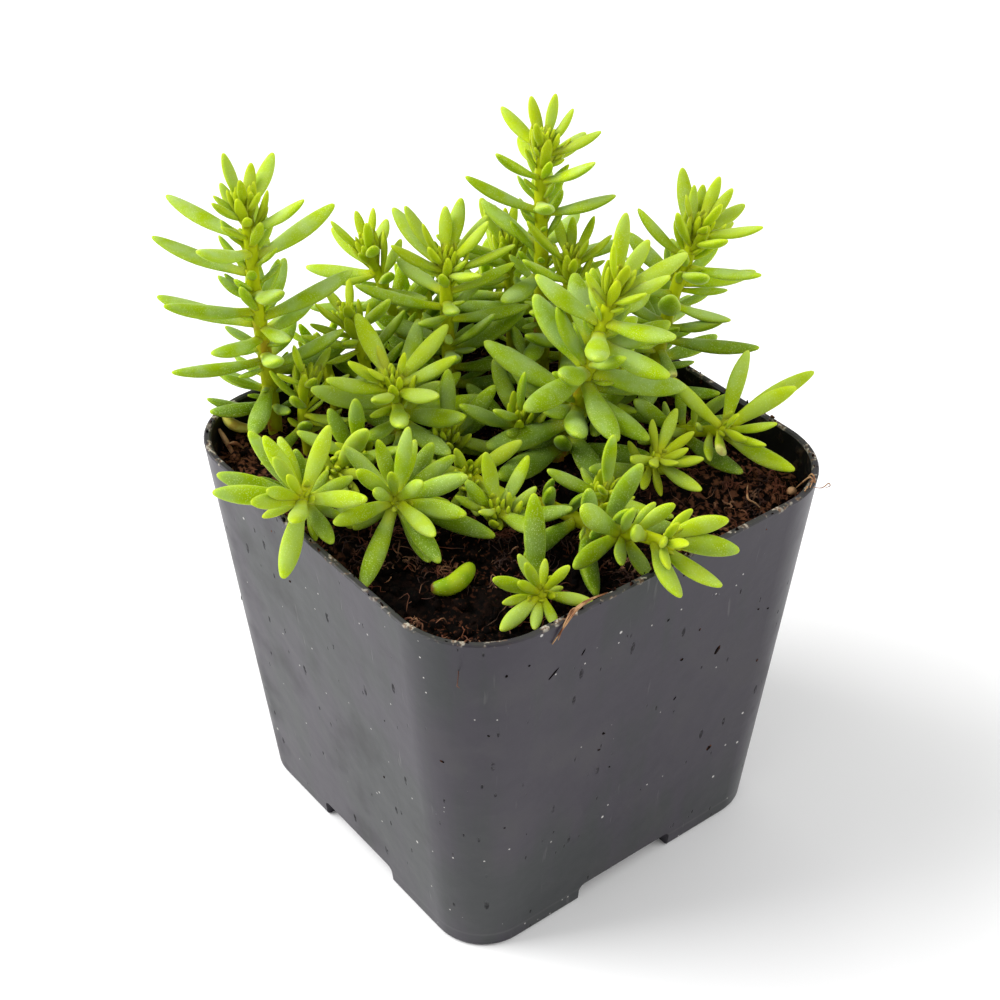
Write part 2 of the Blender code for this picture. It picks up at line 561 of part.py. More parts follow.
def square_distance(x, y, half, corner):
    """How far outside a square with round corners a point is, negative inside."""
    over_x = abs(x) - (half - corner)
    over_y = abs(y) - (half - corner)
    return math.hypot(max(over_x, 0), max(over_y, 0)) + min(max(over_x, over_y), 0) - corner


def clear_of_pot(balls):
    """Whether a leaf's balls keep clear of the pot's wall and of the soil."""
    for x, y, z, radius in balls:
        keep = radius + CLEAR
        half, corner = pot_half(min(z, POT_HEIGHT))
        outside = square_distance(x, y, half, corner)
        rim = max(z - POT_HEIGHT, 0)
        beside = max(outside, -POT_WALL - outside, 0)
        if math.hypot(rim, beside) < keep:
            return False
        if outside < 0 and z < soil_height(x, y) + radius + SOIL_CLEAR:
            return False
    return True


def clear_of_plants(balls, others):
    """Whether a leaf's balls keep clear of the other stems and their leaves."""
    if not len(others):
        return True
    mine = np.array(balls)
    apart = np.linalg.norm(mine[:, None, :3] - others[None, :, :3], axis=2)
    return bool((apart > mine[:, None, 3] + others[None, :, 3] + CLEAR).all())


def grown_leaf(stem, spot, line, reach):
    """Root and reach of a leaf that grows out of the stem's side, with its root sunk well in."""
    outward = (reach - line * reach.dot(line)).normalized() * stem["thick"] / 2
    root = spot + outward * (1 - ROOT_DEPTH)
    return root, spot + outward + line * LEAF_RISE + reach - root, line


def wished_leaves(stem):
    """The leaves set out by eye, then those of the spiral rule, from root to tip."""
    wishes = []
    for share, across, up, towards in stem["leaves"]:
        spot, line = along(stem["above"], share)
        right, rise, to_eye = eye_axes(spot)
        wishes.append(grown_leaf(stem, spot, line, right * across + rise * up + to_eye * towards))
    count, low, high, length = stem["spiral"]
    draw = random.Random(stem["name"])
    for k in range(count):
        share = low + (high - low) * k / max(1, count - 1)
        spot, line = along(stem["above"], share)
        side = line.orthogonal().normalized()
        turn = GOLDEN_ANGLE * k + draw.uniform(-DRAW_TURN, DRAW_TURN)
        outward = side * math.cos(turn) + line.cross(side) * math.sin(turn)
        young = max(0, (share - YOUNG_FROM) / (1 - YOUNG_FROM))
        open_angle = math.radians(OPEN_OLD - OPEN_LESS * young ** 1.6 + draw.uniform(-DRAW_OPEN, DRAW_OPEN))
        size = length * (1 - YOUNG_SHORTER * young ** 2) * draw.uniform(*DRAW_SIZE)
        reach = (outward * math.sin(open_angle) + line * math.cos(open_angle)) * size
        wishes.append(grown_leaf(stem, spot, line, reach))
    return wishes


def fallen_balls():
    """Balls for the fallen leaf, which lies on the soil."""
    balls = []
    for across, near in FALLEN_LEAF:
        spot = seen(across, near, 0)
        height = soil_height(spot.x, spot.y) + GAP + FALLEN_THICK / 2
        balls.append((spot.x, spot.y, height, FALLEN_THICK / 2))
    return balls


def settle_leaves(stems):
    """Give every leaf its place: as wished, or turned and shortened a little to stay clear."""
    placed = {stem["name"]: stem_balls(stem) for stem in stems}
    placed["fallen_leaf"] = fallen_balls()
    for stem in stems:
        stem["settled"] = []
        others = [balls for name, balls in placed.items() if name != stem["name"]]
        others = np.array([ball for balls in others for ball in balls])
        for root, reach, line in wished_leaves(stem):
            leaf = settle_leaf(root, reach, line, others)
            if leaf:
                stem["settled"].append(leaf)
                placed[stem["name"]].extend(leaf_balls(leaf))


def settle_leaf(root, reach, line, others):
    """The first of the tried lengths, lifts and pushes that keeps a leaf clear, or none."""
    rise, to_eye = eye_axes(root)[1:]
    for shrink in TRIED_LENGTHS:
        for lift in TRIED_LIFTS:
            for push in TRIED_PUSHES:
                tried = reach * shrink + rise * lift + to_eye * push
                if tried.length > LEAF_LONGEST:
                    continue
                leaf = leaf_shape(root, tried, line)
                balls = leaf_balls(leaf)
                if clear_of_pot(balls) and clear_of_plants(balls, others):
                    return leaf
    return None


def leaf_mesh(leaf):
    """One plain leaf: a four-sided ball of two rings, drawn out along the leaf's line."""
    bm = bmesh.new()
    bmesh.ops.create_uvsphere(bm, u_segments=4, v_segments=3, radius=1.0)
    side = (leaf["line"][2] - leaf["line"][0]).cross(leaf["face"]).normalized()
    for vert in bm.verts:
        level = round((1 + math.asin(max(-1, min(1, vert.co.z))) / (math.pi / 2)) * 1.5)
        t = LEAF_RINGS[level]
        centre = leaf_point(leaf, t)
        turn = math.atan2(vert.co.y, vert.co.x)
        half = leaf["width"] * leaf_width(t) * LEAF_FULL if 0 < level < 3 else 0
        offset = side * math.cos(turn) * half + leaf["face"] * math.sin(turn) * half * LEAF_THICK
        vert.co = (centre + offset) * MM
    bmesh.ops.recalc_face_normals(bm, faces=bm.faces)
    mesh = bpy.data.meshes.new("leaf")
    bm.to_mesh(mesh)
    bm.free()
    return mesh


def stem_mesh(stem):
    """The stem as a tube along its path, a little thinner at the top."""
    curve = bpy.data.curves.new("stem", "CURVE")
    curve.dimensions = "3D"
    curve.bevel_depth = stem["thick"] / 2 * MM
    curve.bevel_resolution = 1
    curve.use_fill_caps = True
    spline = curve.splines.new("POLY")
    route = stem["path"]
    spline.points.add(len(route) - 1)
    for k, (point, place) in enumerate(zip(spline.points, route)):
        point.co = (*(place * MM), 1.0)
        point.radius = 1.0 - STEM_TAPER * k / (len(route) - 1)
    tube = bpy.data.objects.new("tube", curve)
    bpy.context.scene.collection.objects.link(tube)
    bpy.context.view_layer.update()
    mesh = bpy.data.meshes.new_from_object(tube.evaluated_get(bpy.context.evaluated_depsgraph_get()))
    bpy.data.objects.remove(tube, do_unlink=True)
    bm = bmesh.new()
    bm.from_mesh(mesh)
    bmesh.ops.remove_doubles(bm, verts=bm.verts, dist=1e-6)
    bmesh.ops.recalc_face_normals(bm, faces=bm.faces)
    bm.to_mesh(mesh)
    bm.free()
    return mesh


def keep_main_body(obj):
    """Drop loose scraps and fill sealed hollows that the joining may leave."""
    bm = bmesh.new()
    bm.from_mesh(obj.data)
    bm.verts.ensure_lookup_table()
    seen_verts = set()
    bodies = []
    for start in bm.verts:
        if start in seen_verts:
            continue
        body = [start]
        seen_verts.add(start)
        for vert in body:
            for edge in vert.link_edges:
                other = edge.other_vert(vert)
                if other not in seen_verts:
                    seen_verts.add(other)
                    body.append(other)
        bodies.append(body)
    bodies.sort(key=len, reverse=True)
    for body in bodies[1:]:
        bmesh.ops.delete(bm, geom=body, context="VERTS")
    bm.to_mesh(obj.data)
    bm.free()


def build_leafy_stem(stem, collection, tools):
    """One stem with its leaves, grown and fused as one piece."""
    green = plain_material(stem["name"] + "_green", (0.25, 0.42, 0.03), 0.45)
    obj = new_object(stem["name"], stem_mesh(stem), collection, green)
    for leaf in stem["settled"]:
        new_object("leaf", leaf_mesh(leaf), tools)
    add_boolean(obj, "UNION", tools)
    keep_main_body(obj)
    return obj


def build_fallen_leaf(collection, soil):
    """The loose bean-shaped leaf, let down until it lies just above the soil."""
    path = smooth_path([seen(across, near, 0) for across, near in FALLEN_LEAF], FALLEN_STEPS)
    rings = []
    for k in range(1, FALLEN_STEPS):
        share = (1 - math.cos(math.pi * k / FALLEN_STEPS)) / 2
        centre, line = along(path, share)
        half = FALLEN_THICK / 2 * math.sin(math.pi * k / FALLEN_STEPS) ** 0.7
        ring = []
        for side in range(FALLEN_SIDES):
            turn = 2 * math.pi * side / FALLEN_SIDES
            ring.append((centre + UP.cross(line) * math.cos(turn) * half + UP * math.sin(turn) * half) * MM)
        rings.append(ring)
    mesh = loft(rings)
    skin = BVHTree.FromPolygons([v.co for v in soil.data.vertices], [p.vertices for p in soil.data.polygons])
    high = UP * POT_HEIGHT * MM
    gaps = []
    for vert in mesh.vertices:
        hit = skin.ray_cast(vert.co + high, -UP)[0]
        gaps.append(vert.co.z - hit.z)
    mesh.transform(Matrix.Translation(UP * (GAP * MM - min(gaps))))
    yellow = plain_material("fallen_leaf_green", (0.32, 0.42, 0.05), 0.5)
    return new_object("fallen_leaf", mesh, collection, yellow)


def main():
    clear_scene()
    parts = new_collection("potted_sedum")
    tools = new_collection("tools")
    stems = []
    for name, thick, points, leaves, spiral in STEMS:
        route = [seen(*point) for point in points]
        foot = route[0] - UP * PEG_DEPTH
        above = smooth_path(route, 2)
        stems.append({"name": name, "thick": thick, "above": above, "path": [foot] + above,
                      "leaves": leaves, "spiral": spiral})
    settle_leaves(stems)
    build_pot(parts, tools)
    soil = build_soil(parts, tools, stems)
    for stem in stems:
        build_leafy_stem(stem, parts, tools)
    build_fallen_leaf(parts, soil)
    bpy.data.collections.remove(tools)


main()
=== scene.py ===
"""A sedum japonicum in its small square nursery pot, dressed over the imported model.

Sizes are in millimetres, as in the model, and MM turns them into Blender's metres. Stems and leaves
are set out as they are seen from the plant's best side: across (to the right), near (towards the
eye) and height (above the table) for a stem, and across, up and towards the eye for a leaf.
"""

import math
import random

import bpy
import numpy as np
from mathutils import Matrix, Vector, noise


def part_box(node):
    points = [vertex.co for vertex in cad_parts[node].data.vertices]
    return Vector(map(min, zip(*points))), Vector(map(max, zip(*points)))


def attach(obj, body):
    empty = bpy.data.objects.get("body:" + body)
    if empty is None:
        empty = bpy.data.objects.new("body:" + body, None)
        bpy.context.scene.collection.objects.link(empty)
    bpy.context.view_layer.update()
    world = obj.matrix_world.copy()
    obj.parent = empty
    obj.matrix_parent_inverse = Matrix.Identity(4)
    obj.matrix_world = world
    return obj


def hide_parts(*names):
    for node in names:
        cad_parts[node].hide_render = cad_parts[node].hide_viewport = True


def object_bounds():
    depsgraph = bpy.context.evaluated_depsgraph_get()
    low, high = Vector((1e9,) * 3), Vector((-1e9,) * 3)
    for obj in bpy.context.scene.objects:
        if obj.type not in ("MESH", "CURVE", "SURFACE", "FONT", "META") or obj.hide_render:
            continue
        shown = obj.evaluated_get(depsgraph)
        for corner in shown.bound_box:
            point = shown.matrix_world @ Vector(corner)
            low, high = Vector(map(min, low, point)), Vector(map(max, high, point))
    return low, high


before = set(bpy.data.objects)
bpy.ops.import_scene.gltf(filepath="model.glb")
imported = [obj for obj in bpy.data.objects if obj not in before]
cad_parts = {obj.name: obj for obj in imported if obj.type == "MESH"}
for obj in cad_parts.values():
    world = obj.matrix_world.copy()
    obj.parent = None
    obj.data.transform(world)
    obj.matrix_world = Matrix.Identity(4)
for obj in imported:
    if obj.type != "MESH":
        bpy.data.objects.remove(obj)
cad_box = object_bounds()

# Camera
# The photograph is taken from above the pot's front corner, with a short telephoto lens.
MM = 0.001
CAMERA_TURN = math.radians(52.13)
CAMERA_RISE = math.radians(36.34)
CAMERA_DISTANCE = 262.7
AIM_HEIGHT = 40.0
AIM_RIGHT = -1.04
AIM_UP = 8.73
LENS = 67.18
CLIP_START = 0.01

backward = Vector((math.sin(CAMERA_TURN) * math.cos(CAMERA_RISE),
                   -math.cos(CAMERA_TURN) * math.cos(CAMERA_RISE), math.sin(CAMERA_RISE)))
rightward = Vector((math.cos(CAMERA_TURN), math.sin(CAMERA_TURN), 0))
upward = backward.cross(rightward)
stand = Vector((0, 0, AIM_HEIGHT)) + backward * CAMERA_DISTANCE + rightward * AIM_RIGHT + upward * AIM_UP
bpy.ops.object.camera_add(location=stand * MM, rotation=(math.pi / 2 - CAMERA_RISE, 0, CAMERA_TURN))
camera = bpy.context.object
camera.data.lens = LENS
camera.data.clip_start = CLIP_START
bpy.context.scene.camera = camera

# Pot
# One thin-walled moulding of dark recycled plastic: tapered square walls, a raised floor, four
# hollow corner feet with low arches between them, and drain holes. It is scuffed and dusty, and
# dried soil clings to its worn rim.
pot_low, pot_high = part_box("pot")
POT_TOP = (pot_high[0] - pot_low[0]) / MM
POT_HEIGHT = (pot_high[2] - pot_low[2]) / MM
POT_TOP_CORNER = 12.4
POT_BASE = 54.4
POT_BASE_CORNER = 7.7
POT_WALL = 1.0
BASE_ROUND = 0.6
ROUND_MIDDLE = 0.3
RIM_ROUND = 0.22
FLOOR_TOP = 4.0
FOOT_HEIGHT = 3.1
ARCH_WIDTH = 17.0
ARCH_SLOPE = 2.0
ARCH_ROUND = 1.0
ARCH_STEPS = 3
FOOT_FLOOR = 1.2
FOOT_CORNER = 5.5
FOOT_TAPER = 0.6
DRAIN_HOLE = 5.0
DRAIN_SPREAD = 14.0
DRAIN_SIDES = 32
CORNER_STEPS = 14
CUT_OVER = 1.0
CREASE = math.radians(32)
MERGE = 0.001


def pot_half(height):
    """Half of the pot's outer width, and its corner radius, at a height."""
    share = height / POT_HEIGHT
    half = (POT_BASE + (POT_TOP - POT_BASE) * share) / 2
    corner = POT_BASE_CORNER + (POT_TOP_CORNER - POT_BASE_CORNER) * share
    return half, corner


def wall_plate(height, inset):
    """Half width, corner radius and height of a level slice of the pot, moved in from its outside."""
    half, corner = pot_half(height)
    return half - inset, corner - inset, height


def pick(piece):
    """Make a piece the only selected one, and the active one."""
    bpy.ops.object.select_all(action="DESELECT")
    piece.select_set(True)
    bpy.context.view_layer.objects.active = piece


def join_pieces(pieces, name):
    """Join pieces into one object with the given name."""
    pick(pieces[0])
    for piece in pieces:
        piece.select_set(True)
    bpy.ops.object.join()
    pieces[0].name = name
    pieces[0].data.name = name
    return pieces[0]


def close_up(piece):
    """Merge doubled points and turn every face outwards."""
    pick(piece)
    bpy.ops.object.mode_set(mode="EDIT")
    bpy.ops.mesh.select_all(action="SELECT")
    bpy.ops.mesh.remove_doubles(threshold=MERGE * MM)
    bpy.ops.mesh.normals_make_consistent(inside=False)
    bpy.ops.object.mode_set(mode="OBJECT")


def loft_plates(name, plates):
    """A closed body through square plates with round corners, each (half, corner, height)."""
    made = []
    for k, (half, corner, height) in enumerate(plates):
        bpy.ops.object.select_all(action="DESELECT")
        bpy.ops.mesh.primitive_plane_add(size=2 * half * MM, location=(0, 0, height * MM))
        plate = bpy.context.object
        bpy.ops.object.mode_set(mode="EDIT")
        bpy.ops.mesh.select_all(action="SELECT")
        bpy.ops.mesh.bevel(offset=corner * MM, segments=CORNER_STEPS, affect="VERTICES")
        if 0 < k < len(plates) - 1:
            bpy.ops.mesh.select_all(action="SELECT")
            bpy.ops.mesh.delete(type="ONLY_FACE")
        bpy.ops.object.mode_set(mode="OBJECT")
        bpy.ops.object.transform_apply(location=True, rotation=False, scale=False)
        level = plate.data.attributes.new("level", "INT", "POINT")
        level.data.foreach_set("value", [k] * len(plate.data.vertices))
        made.append(plate)
    body = join_pieces(made, name)
    for k in range(len(plates) - 1):
        bpy.ops.object.mode_set(mode="EDIT")
        bpy.ops.mesh.select_mode(type="EDGE")
        bpy.ops.mesh.select_all(action="DESELECT")
        bpy.ops.object.mode_set(mode="OBJECT")
        levels = [item.value for item in body.data.attributes["level"].data]
        for edge in body.data.edges:
            low, high = sorted(levels[v] for v in edge.vertices)
            edge.select = low == high and low in (k, k + 1)
        bpy.ops.object.mode_set(mode="EDIT")
        bpy.ops.mesh.bridge_edge_loops()
        bpy.ops.object.mode_set(mode="OBJECT")
    body.data.attributes.remove(body.data.attributes["level"])
    close_up(body)
    return body


def cut_with(body, cutter, operation="DIFFERENCE"):
    """Cut a body by a cutter, which is then removed."""
    pick(body)
    cut = body.modifiers.new("cut", "BOOLEAN")
    cut.operation = operation
    cut.object = cutter
    bpy.ops.object.modifier_apply(modifier=cut.name)
    bpy.data.objects.remove(cutter, do_unlink=True)


pot = loft_plates("nursery_pot", [
    wall_plate(0, BASE_ROUND),
    wall_plate(BASE_ROUND * ROUND_MIDDLE, BASE_ROUND * ROUND_MIDDLE),
    wall_plate(BASE_ROUND, 0),
    wall_plate(POT_HEIGHT - RIM_ROUND, 0),
    wall_plate(POT_HEIGHT, RIM_ROUND),
    wall_plate(POT_HEIGHT, POT_WALL - RIM_ROUND),
    wall_plate(POT_HEIGHT - RIM_ROUND, POT_WALL),
    wall_plate(FLOOR_TOP, POT_WALL),
])
foot_inner = ARCH_WIDTH / 2 + ARCH_SLOPE + POT_WALL
foot_outer = POT_BASE / 2 - POT_WALL - BASE_ROUND
foot_middle = (foot_inner + foot_outer) / 2
foot_half = (foot_outer - foot_inner) / 2
for side_x in (-1, 1):
    for side_y in (-1, 1):
        hollow = loft_plates("foot_hollow", [(foot_half - FOOT_TAPER, FOOT_CORNER, FOOT_FLOOR),
                                             (foot_half, FOOT_CORNER, FLOOR_TOP + CUT_OVER)])
        hollow.location = Vector((side_x, side_y, 0)) * foot_middle * MM
        cut_with(pot, hollow)
arch_foot = ARCH_WIDTH + 2 * (ARCH_SLOPE + CUT_OVER)
for quarter in (0, 1):
    bpy.ops.object.select_all(action="DESELECT")
    bpy.ops.mesh.primitive_cube_add(size=1, location=(0, 0, (FOOT_HEIGHT - CUT_OVER) / 2 * MM))
    arch = bpy.context.object
    arch.scale = Vector((arch_foot, POT_TOP, FOOT_HEIGHT + CUT_OVER)) * MM
    bpy.ops.object.transform_apply(location=True, rotation=False, scale=True)
    for face in arch.data.polygons:
        face.select = face.normal.z > 0.5
    bpy.ops.object.mode_set(mode="EDIT")
    bpy.ops.mesh.select_mode(type="FACE")
    bpy.ops.transform.resize(value=(ARCH_WIDTH / arch_foot, 1, 1))
    bpy.ops.mesh.select_mode(type="EDGE")
    bpy.ops.mesh.select_all(action="DESELECT")
    bpy.ops.object.mode_set(mode="OBJECT")
    for edge in arch.data.edges:
        ends = [arch.data.vertices[v].co for v in edge.vertices]
        edge.select = min(end.z for end in ends) > 0 and ends[0].x * ends[1].x > 0
    bpy.ops.object.mode_set(mode="EDIT")
    bpy.ops.mesh.bevel(offset=ARCH_ROUND * MM, segments=ARCH_STEPS)
    bpy.ops.object.mode_set(mode="OBJECT")
    arch.rotation_euler.z = quarter * math.pi / 2
    cut_with(pot, arch)
for quarter in range(4):
    turn = quarter * math.pi / 2
    bpy.ops.object.select_all(action="DESELECT")
    bpy.ops.mesh.primitive_cylinder_add(
        vertices=DRAIN_SIDES, radius=DRAIN_HOLE / 2 * MM, depth=2 * (FLOOR_TOP + CUT_OVER) * MM,
        location=(DRAIN_SPREAD * math.cos(turn) * MM, DRAIN_SPREAD * math.sin(turn) * MM, 0))
    cut_with(pot, bpy.context.object)
pick(pot)
bpy.ops.object.shade_smooth_by_angle(angle=CREASE)
flatten = pot.modifiers.new("even_sides", "WEIGHTED_NORMAL")
flatten.keep_sharp = True
bpy.ops.object.modifier_apply(modifier=flatten.name)


def add_node(tree, kind, inputs=(), **settings):
    """Add a shader node with its settings, and with its inputs set to values or linked to outputs."""
    node = tree.nodes.new(kind)
    for key, value in settings.items():
        setattr(node, key, value)
    for key, value in dict(inputs).items():
        if isinstance(value, bpy.types.NodeSocket):
            tree.links.new(value, node.inputs[key])
        else:
            node.inputs[key].default_value = value
    return node


def new_finish(name, roughness, specular):
    """A material, its node tree, its shader and the object coordinates for its patterns."""
    finish = bpy.data.materials.new(name)
    finish.use_nodes = True
    tree = finish.node_tree
    shader = tree.nodes["Principled BSDF"]
    shader.inputs["Roughness"].default_value = roughness
    shader.inputs["Specular IOR Level"].default_value = specular
    place = add_node(tree, "ShaderNodeTexCoord").outputs["Object"]
    return finish, tree, shader, place


def reckon(tree, operation, first, second=0.0):
    """A sum, product or other reckoning of two values."""
    return add_node(tree, "ShaderNodeMath", {0: first, 1: second}, operation=operation).outputs[0]


def times(tree, first, second):
    """The product of two values."""
    return reckon(tree, "MULTIPLY", first, second)


def plus(tree, value, more, strength):
    """A value with another added to it, at a given strength."""
    return reckon(tree, "ADD", value, times(tree, more, strength))


def coat(tree, colour, cover, share, strength=1.0):
    """A colour with a cover over it, which hides it where both share and strength are 1."""
    if strength != 1.0:
        share = times(tree, share, strength)
    return add_node(tree, "ShaderNodeMix", {0: share, 6: colour, 7: cover}, data_type="RGBA").outputs[2]


def cloudy(tree, place, size, detail=2.0, stretch=(1, 1, 1)):
    """Soft random clouds of about the given size in millimetres, from 0 to 1."""
    scaled = add_node(tree, "ShaderNodeMapping", {"Vector": place, "Scale": stretch})
    noisy = add_node(tree, "ShaderNodeTexNoise", {"Vector": scaled.outputs[0], "Scale": 1 / (size * MM),
                                                  "Detail": detail})
    return noisy.outputs["Fac"]


def between(tree, value, low, high, at_low=0.0, at_high=1.0):
    """A smooth step over a value: the first number at low and under it, the second from high on."""
    ramp = add_node(tree, "ShaderNodeMapRange", {0: value, 1: low, 2: high, 3: at_low, 4: at_high},
                    interpolation_type="SMOOTHSTEP")
    return ramp.outputs[0]


def patches(tree, place, size, detail, *limits, stretch=(1, 1, 1)):
    """Random patches with soft edges: clouds of a size, stepped between the limits."""
    return between(tree, cloudy(tree, place, size, detail, stretch), *limits)


def specks(tree, place, spacing, radius, kept):
    """Small round specks: their mean spacing and radius in millimetres, and the share that shows."""
    cells = add_node(tree, "ShaderNodeTexVoronoi", {"Vector": place, "Scale": 1 / (spacing * MM)})
    spot = between(tree, cells.outputs["Distance"], radius / spacing * 0.6, radius / spacing, 1.0, 0.0)
    chosen = add_node(tree, "ShaderNodeSeparateColor", {0: cells.outputs["Color"]}).outputs[0]
    return times(tree, spot, reckon(tree, "LESS_THAN", chosen, kept))


def height_of(tree, place):
    """Height above the table, in millimetres."""
    return times(tree, add_node(tree, "ShaderNodeSeparateXYZ", {0: place}).outputs[2], 1 / MM)


def dress(tree, shader, colour, relief=None, depth=0.0):
    """Give the shader its colour, and bump it by a relief from 0 to 1, its depth in millimetres."""
    tree.links.new(colour, shader.inputs["Base Color"])
    if relief is not None:
        bump = add_node(tree, "ShaderNodeBump", {"Height": relief, "Distance": depth * MM, "Strength": 1.0})
        tree.links.new(bump.outputs[0], shader.inputs["Normal"])


PLASTIC_VIOLET = (0.0225, 0.0180, 0.0285, 1)
PLASTIC_GREEN = (0.0150, 0.0175, 0.0190, 1)
PLASTIC_DUST = (0.080, 0.077, 0.078, 1)
PLASTIC_SPECK = (0.62, 0.60, 0.57, 1)
PLASTIC_SOOT = (0.010, 0.009, 0.010, 1)
RIM_DARK = (0.030, 0.029, 0.025, 1)
RIM_PALE = (0.46, 0.42, 0.34, 1)
RIM_SOIL = (0.17, 0.095, 0.050, 1)
SEAM_HEIGHT = 2.6

plastic, tree, shader, place = new_finish("pot_plastic", 0.42, 0.36)
tint = plus(tree, cloudy(tree, place, 24), cloudy(tree, place, 3.5, 4.0, (1, 1, 0.07)), 0.6)
colour = coat(tree, PLASTIC_VIOLET, PLASTIC_GREEN, between(tree, tint, 0.7, 0.95))
dust = patches(tree, place, 9, 6.0, 0.5, 0.75)
colour = coat(tree, colour, PLASTIC_DUST, dust, 0.35)
rubs = patches(tree, place, 1.4, 3.0, 0.68, 0.78, stretch=(1, 1, 0.12))
colour = coat(tree, colour, PLASTIC_DUST, rubs, 0.5)
long = add_node(tree, "ShaderNodeMapping", {"Vector": place, "Scale": (1, 1, 0.36)}).outputs[0]
nicks = reckon(tree, "MAXIMUM", specks(tree, long, 1.5, 0.19, 0.5), specks(tree, long, 2.4, 0.4, 0.4))
nicks = times(tree, nicks, patches(tree, place, 0.7, 3.0, 0.35, 0.6, 0.1, 0.8))
colour = coat(tree, colour, PLASTIC_SOOT, nicks)
white = reckon(tree, "MAXIMUM", specks(tree, place, 1.6, 0.16, 0.14), specks(tree, place, 4.0, 0.27, 0.3))
colour = coat(tree, colour, PLASTIC_SPECK, white, 0.75)
height = height_of(tree, place)
seam = reckon(tree, "ABSOLUTE", reckon(tree, "SUBTRACT", height, SEAM_HEIGHT))
seam = times(tree, between(tree, seam, 0.1, 0.3, 1.0, 0.0), cloudy(tree, place, 3.0, 4.0))
colour = coat(tree, colour, PLASTIC_DUST, seam, 0.5)
ragged = plus(tree, height, cloudy(tree, place, 2.2, 5.0), 1.6)
worn = between(tree, ragged, POT_HEIGHT + 0.3, POT_HEIGHT + 0.9)
colour = coat(tree, colour, RIM_DARK, worn, 0.85)
crust = coat(tree, RIM_SOIL, RIM_PALE, patches(tree, place, 0.55, 4.0, 0.44, 0.58))
caked = times(tree, worn, patches(tree, place, 1.5, 6.0, 0.52, 0.6))
colour = coat(tree, colour, crust, caked, 0.85)
dull = plus(tree, 0.36, reckon(tree, "ADD", dust, worn), 0.2)
tree.links.new(plus(tree, dull, nicks, 0.6), shader.inputs["Roughness"])
ripple = plus(tree, cloudy(tree, place, 6.0), cloudy(tree, place, 0.5), 0.06)
ripple = plus(tree, plus(tree, ripple, rubs, -0.15), nicks, -1.6)
dress(tree, shader, colour, ripple, 0.12)

# Painted shade: the inside of the pot is the same plastic, made near black for the shade within it; the
# patches of stuck soil on it are real stains
INSIDE_SHADE_BLACK = (0.006, 0.006, 0.006, 1)
INSIDE_SOIL = (0.040, 0.024, 0.015, 1)
inside, tree, shader, place = new_finish("pot_inside", 0.5, 0.25)
stuck = patches(tree, place, 2.0, 6.0, 0.5, 0.68)
dress(tree, shader, coat(tree, INSIDE_SHADE_BLACK, INSIDE_SOIL, stuck), stuck, 0.2)

pot.data.materials.append(plastic)
pot.data.materials.append(inside)
# The inside walls and the upward faces below the rim get the inside finish, whose near black is painted
# shade
for face in pot.data.polygons:
    outward = face.center.x * face.normal.x + face.center.y * face.normal.y
    below_rim = FOOT_HEIGHT * MM < face.center.z < (POT_HEIGHT - RIM_ROUND) * MM
    if below_rim and (outward < 0 or face.normal.z > 0.9):
        face.material_index = 1
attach(pot, "root")
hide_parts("pot")

# Soil
# Damp coco peat, pressed in by hand: a lumpy top with loose crumbs and a felt of fine brown
# coir fibres. It fills the pot and holds the stems.
GAP = 0.3
SOIL_TOP = 55.6
SOIL_RELIEF = 0.7
SOIL_DROOP = 1.2
SOIL_GRID = 170
SOIL_BITE = 0.05
LUMPS = ((4.2, 0.6), (1.9, 0.55), (0.9, 0.34))
LUMP_SLICE = 7.3


def soil_height(x, y):
    """The soil's top, in millimetres: low mounds and dips, a little higher in the middle."""
    mounds = math.sin(0.23 * x + 1.1) * math.cos(0.19 * y - 0.7) + 0.6 * math.sin(0.41 * x - 0.33 * y)
    edge = max(abs(x), abs(y)) / (POT_TOP / 2)
    return SOIL_TOP + SOIL_RELIEF * mounds - SOIL_DROOP * edge ** 4


def soil_surface(x, y):
    """The soil's top with its lumps and crumbs, in millimetres."""
    lumps = sum(noise.noise(Vector((x, y, LUMP_SLICE * depth)) / size) * depth for size, depth in LUMPS)
    return soil_height(x, y) + lumps


bpy.ops.object.select_all(action="DESELECT")
bpy.ops.mesh.primitive_grid_add(x_subdivisions=SOIL_GRID, y_subdivisions=SOIL_GRID, size=POT_TOP * MM)
soil = bpy.context.object
soil.name = "coco_soil"
bpy.ops.object.mode_set(mode="EDIT")
bpy.ops.mesh.select_all(action="SELECT")
bpy.ops.mesh.extrude_region_move(TRANSFORM_OT_translate={"value": (0, 0, SOIL_TOP * MM)})
bpy.ops.object.mode_set(mode="OBJECT")
for vert in soil.data.vertices:
    if vert.select:
        vert.co.z = soil_surface(vert.co.x / MM, vert.co.y / MM) * MM
close_up(soil)
fill = loft_plates("soil_fill", [wall_plate(FLOOR_TOP + GAP, POT_WALL - SOIL_BITE),
                                 wall_plate(POT_HEIGHT, POT_WALL - SOIL_BITE)])
cut_with(soil, fill, "INTERSECT")
pick(soil)
bpy.ops.object.shade_smooth()

PEAT_BLACK = (0.0012, 0.0008, 0.0006, 1)
PEAT_BROWN = (0.006, 0.0028, 0.0018, 1)
PEAT_RUST = (0.070, 0.024, 0.011, 1)
PEAT_DRY = (0.150, 0.060, 0.030, 1)
